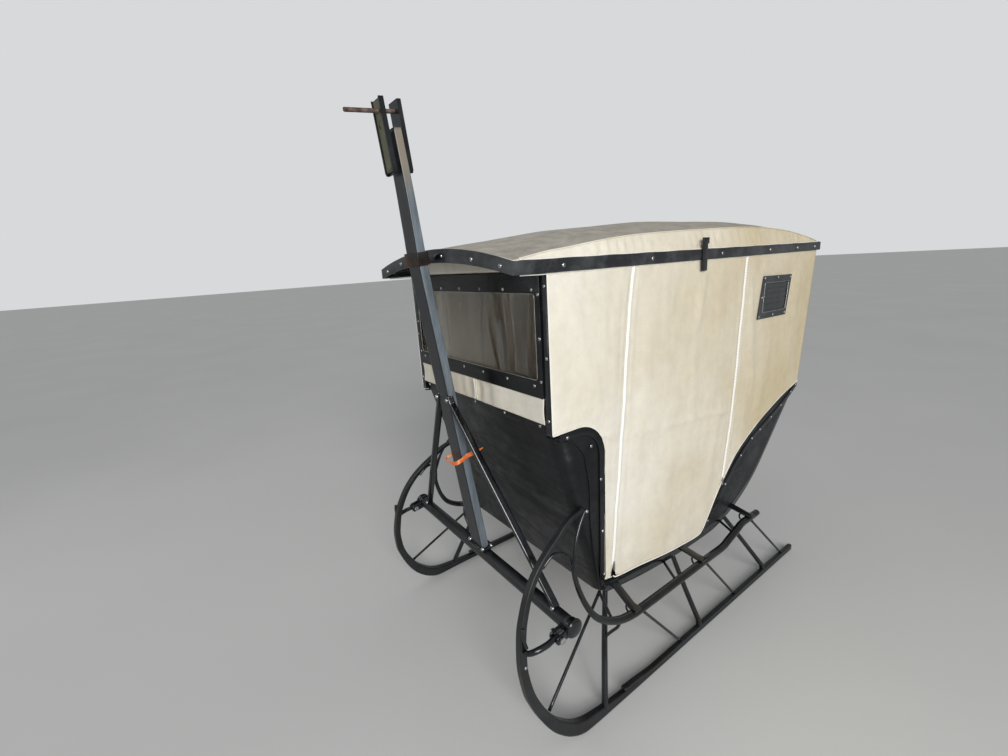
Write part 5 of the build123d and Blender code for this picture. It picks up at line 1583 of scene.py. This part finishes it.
SCREWS = (
    # group, direction it looks in, radius, places as x, y, z
    ("roof_side", (1, 0, 0), 6.2, [(408.9, y, 1426) for y in (-640, -274, 118, 469, 711, 883)]),
    (
        "roof_front",
        (0, -1, 0),
        6.2,
        [
            (-349, -806.3, 1436),
            (-224, -806.3, 1459),
            (67, -806.3, 1471),
            (231, -806.3, 1455),
            (360, -806.3, 1434),
        ],
    ),
    (
        "windscreen",
        (0, -1, 0),
        5.0,
        [
            *((x, -697.3, 1368) for x in (-342, -154, -30, 92, 214, 342)),
            *((x, -697.3, 1104) for x in (-337, -210, -40, 78, 210, 337)),
            *((s * 367, -697.3, z) for s in (1, -1) for z in (1356, 1239, 1120)),
        ],
    ),
    ("posts", (0, -1, 0), 5.0, [(s * 387, -692.3, z) for s in (1, -1) for z in (1377, 1187, 1010)]),
    (
        "arch",
        (1, 0, 0),
        5.4,
        [(402.3, -638, 951), (402.3, -543, 897), (402.3, -502, 775), (402.3, -496, 591), (402.3, -489, 427)],
    ),
    (
        "quarter",
        (1, 0, 0),
        5.4,
        [
            (402.1, y, z)
            for y, z in (
                (131, 366), (254, 487), (369, 581), (457, 634), (524, 657), (622, 690), (710, 725),
                (803, 769), (848, 796),
            )
        ],
    ),
    (
        "vents",
        (1, 0, 0),
        5.0,
        [
            (406.8, y, z)
            for y, z in (
                (451, 1317), (564, 1314), (674, 1309), (645, 1162), (540, 1164), (422, 1166), (436, 1241)
            )
        ],
    ),
    ("dash", (0, -1, 0), 5.4, [(x, -688.0, 984) for x in (-342, -170, 0, 170, 342)]),
    ("hooks", (1, 0, 0), 4.0, [(413.5, -29, 1462)]),
)


class SLEIGH_OT_fastenings(bpy.types.Operator):
    """Sets the domed screws in the rails, posts, trims, vents and windscreen"""

    bl_idname = "sleigh.fastenings"
    bl_label = "Fastenings"

    def execute(self, context):
        plate = finished(zinc_plate, "zinc_screw_heads", True)
        for name, look, radius, spots in SCREWS:
            spots = np.array(spots, float)
            if look[0]:
                spots = np.concatenate([spots, spots * (-1, 1, 1)])
                looks = np.repeat([look, (-look[0], 0, 0)], len(spots) // 2, 0)
            else:
                looks = np.broadcast_to(look, spots.shape)
            domes(f"screws_{name}", spots, looks, radius, 0.5 * radius, plate)
        return {"FINISHED"}


# Stage


class SLEIGH_OT_stage(bpy.types.Operator):
    """Lays the floor, hangs the lamps and sets the camera"""

    bl_idname = "sleigh.stage"
    bl_label = "Stage"

    def execute(self, context):
        stage = context.scene.sleigh_stage
        eye = bpy.data.objects.new("camera", bpy.data.cameras.new("camera"))
        eye.data.lens, eye.data.sensor_width = stage.lens, 36.0
        eye.location = (1.27729, -1.42707, 1.4415)
        eye.rotation_euler = (1.3201224219, 0.0618907905, 0.9403770469)
        context.scene.collection.objects.link(eye)
        context.scene.camera = eye
        made, tree, shader = finish("pale_floor_paint", Roughness=0.85)
        where = add(tree, "TexCoord").outputs["Object"]
        cloud = add(tree, "TexNoise", {"Vector": where, "Scale": 0.8, "Detail": 2.0})
        tone = add(tree, "ValToRGB", {"Fac": cloud}, [(0.3, stage.floor), (0.7, linear("CCCCCA"))])
        lead(tree, shader, Base_Color=tone)
        mesh = bpy.data.meshes.new("floor")
        reach = 60.0
        mesh.from_pydata(
            [(-reach, -reach, 0), (reach, -reach, 0), (reach, reach, 0), (-reach, reach, 0)],
            [],
            [(0, 1, 2, 3)],
        )
        mesh.materials.append(made)
        floor = bpy.data.objects.new("floor", mesh)
        context.scene.collection.objects.link(floor)
        world = bpy.data.worlds.new("soft_surround")
        world.use_nodes = True
        sky = world.node_tree.nodes["Background"]
        ray = add(world.node_tree, "LightPath")
        strength = add(
            world.node_tree,
            "MapRange",
            {"Value": ray.outputs["Is Camera Ray"], "To Min": stage.soft, "To Max": 0.86},
        )
        sky.inputs["Color"].default_value = stage.sky
        world.node_tree.links.new(strength.outputs[0], sky.inputs["Strength"])
        context.scene.world = world
        lamps = (
            # name, kind, place, width, height, power
            ("sun", "SUN", (3.0, -0.9, 2.2), 0.4, 0.4, stage.key / 120),
            ("corner", "AREA", (3.0, -2.1, 2.3), 1.6, 1.6, stage.key * 0.4),
            ("strip", "AREA", (-2.1, -3.6, 2.1), 0.25, 2.4, stage.key * 0.06),
        )
        for name, kind, spot, wide, tall, power in lamps:
            lamp = bpy.data.lights.new(name, kind)
            lamp.energy = power
            if kind == "SUN":
                lamp.angle = wide
            else:
                lamp.shape, lamp.size, lamp.size_y = "RECTANGLE", wide, tall
            hung = bpy.data.objects.new(name, lamp)
            hung.location = spot
            hung.rotation_euler = (Vector((0, 0, 0.9)) - Vector(spot)).to_track_quat("-Z", "Y").to_euler()
            context.scene.collection.objects.link(hung)
        context.scene.view_settings.view_transform = "Standard"
        return {"FINISHED"}


GROUPS = {"sleigh_cloth": SleighCloth, "sleigh_irons": SleighIrons, "sleigh_stage": SleighStage}
OPERATORS = (
    SLEIGH_OT_stage,
    SLEIGH_OT_irons,
    SLEIGH_OT_seat,
    SLEIGH_OT_canvas_sides,
    SLEIGH_OT_zips,
    SLEIGH_OT_roof,
    SLEIGH_OT_front,
    SLEIGH_OT_rear,
    SLEIGH_OT_tub_trims,
    SLEIGH_OT_undercarriage,
    SLEIGH_OT_coupling,
    SLEIGH_OT_pole,
    SLEIGH_OT_fastenings,
)


class SLEIGH_PT_panel(bpy.types.Panel):
    """Lists the sleigh's settings and pieces"""

    bl_idname = "SLEIGH_PT_panel"
    bl_label = "Sleigh"
    bl_space_type = "VIEW_3D"
    bl_region_type = "UI"
    bl_category = "Sleigh"

    def draw(self, context):
        for name, group in GROUPS.items():
            box = self.layout.box()
            for key in group.__annotations__:
                box.prop(getattr(context.scene, name), key)
        for operator in OPERATORS:
            self.layout.operator(operator.bl_idname)


def register():
    for made in (*GROUPS.values(), *OPERATORS, SLEIGH_PT_panel):
        bpy.utils.register_class(made)
    for name, group in GROUPS.items():
        setattr(bpy.types.Scene, name, bpy.props.PointerProperty(type=group))


def unregister():
    for name in GROUPS:
        delattr(bpy.types.Scene, name)
    for made in (SLEIGH_PT_panel, *reversed(OPERATORS), *reversed(GROUPS.values())):
        bpy.utils.unregister_class(made)


def main():
    register()
    for operator in OPERATORS:
        group, name = operator.bl_idname.split(".")
        getattr(getattr(bpy.ops, group), name)()


if __name__ == "__main__":
    main()
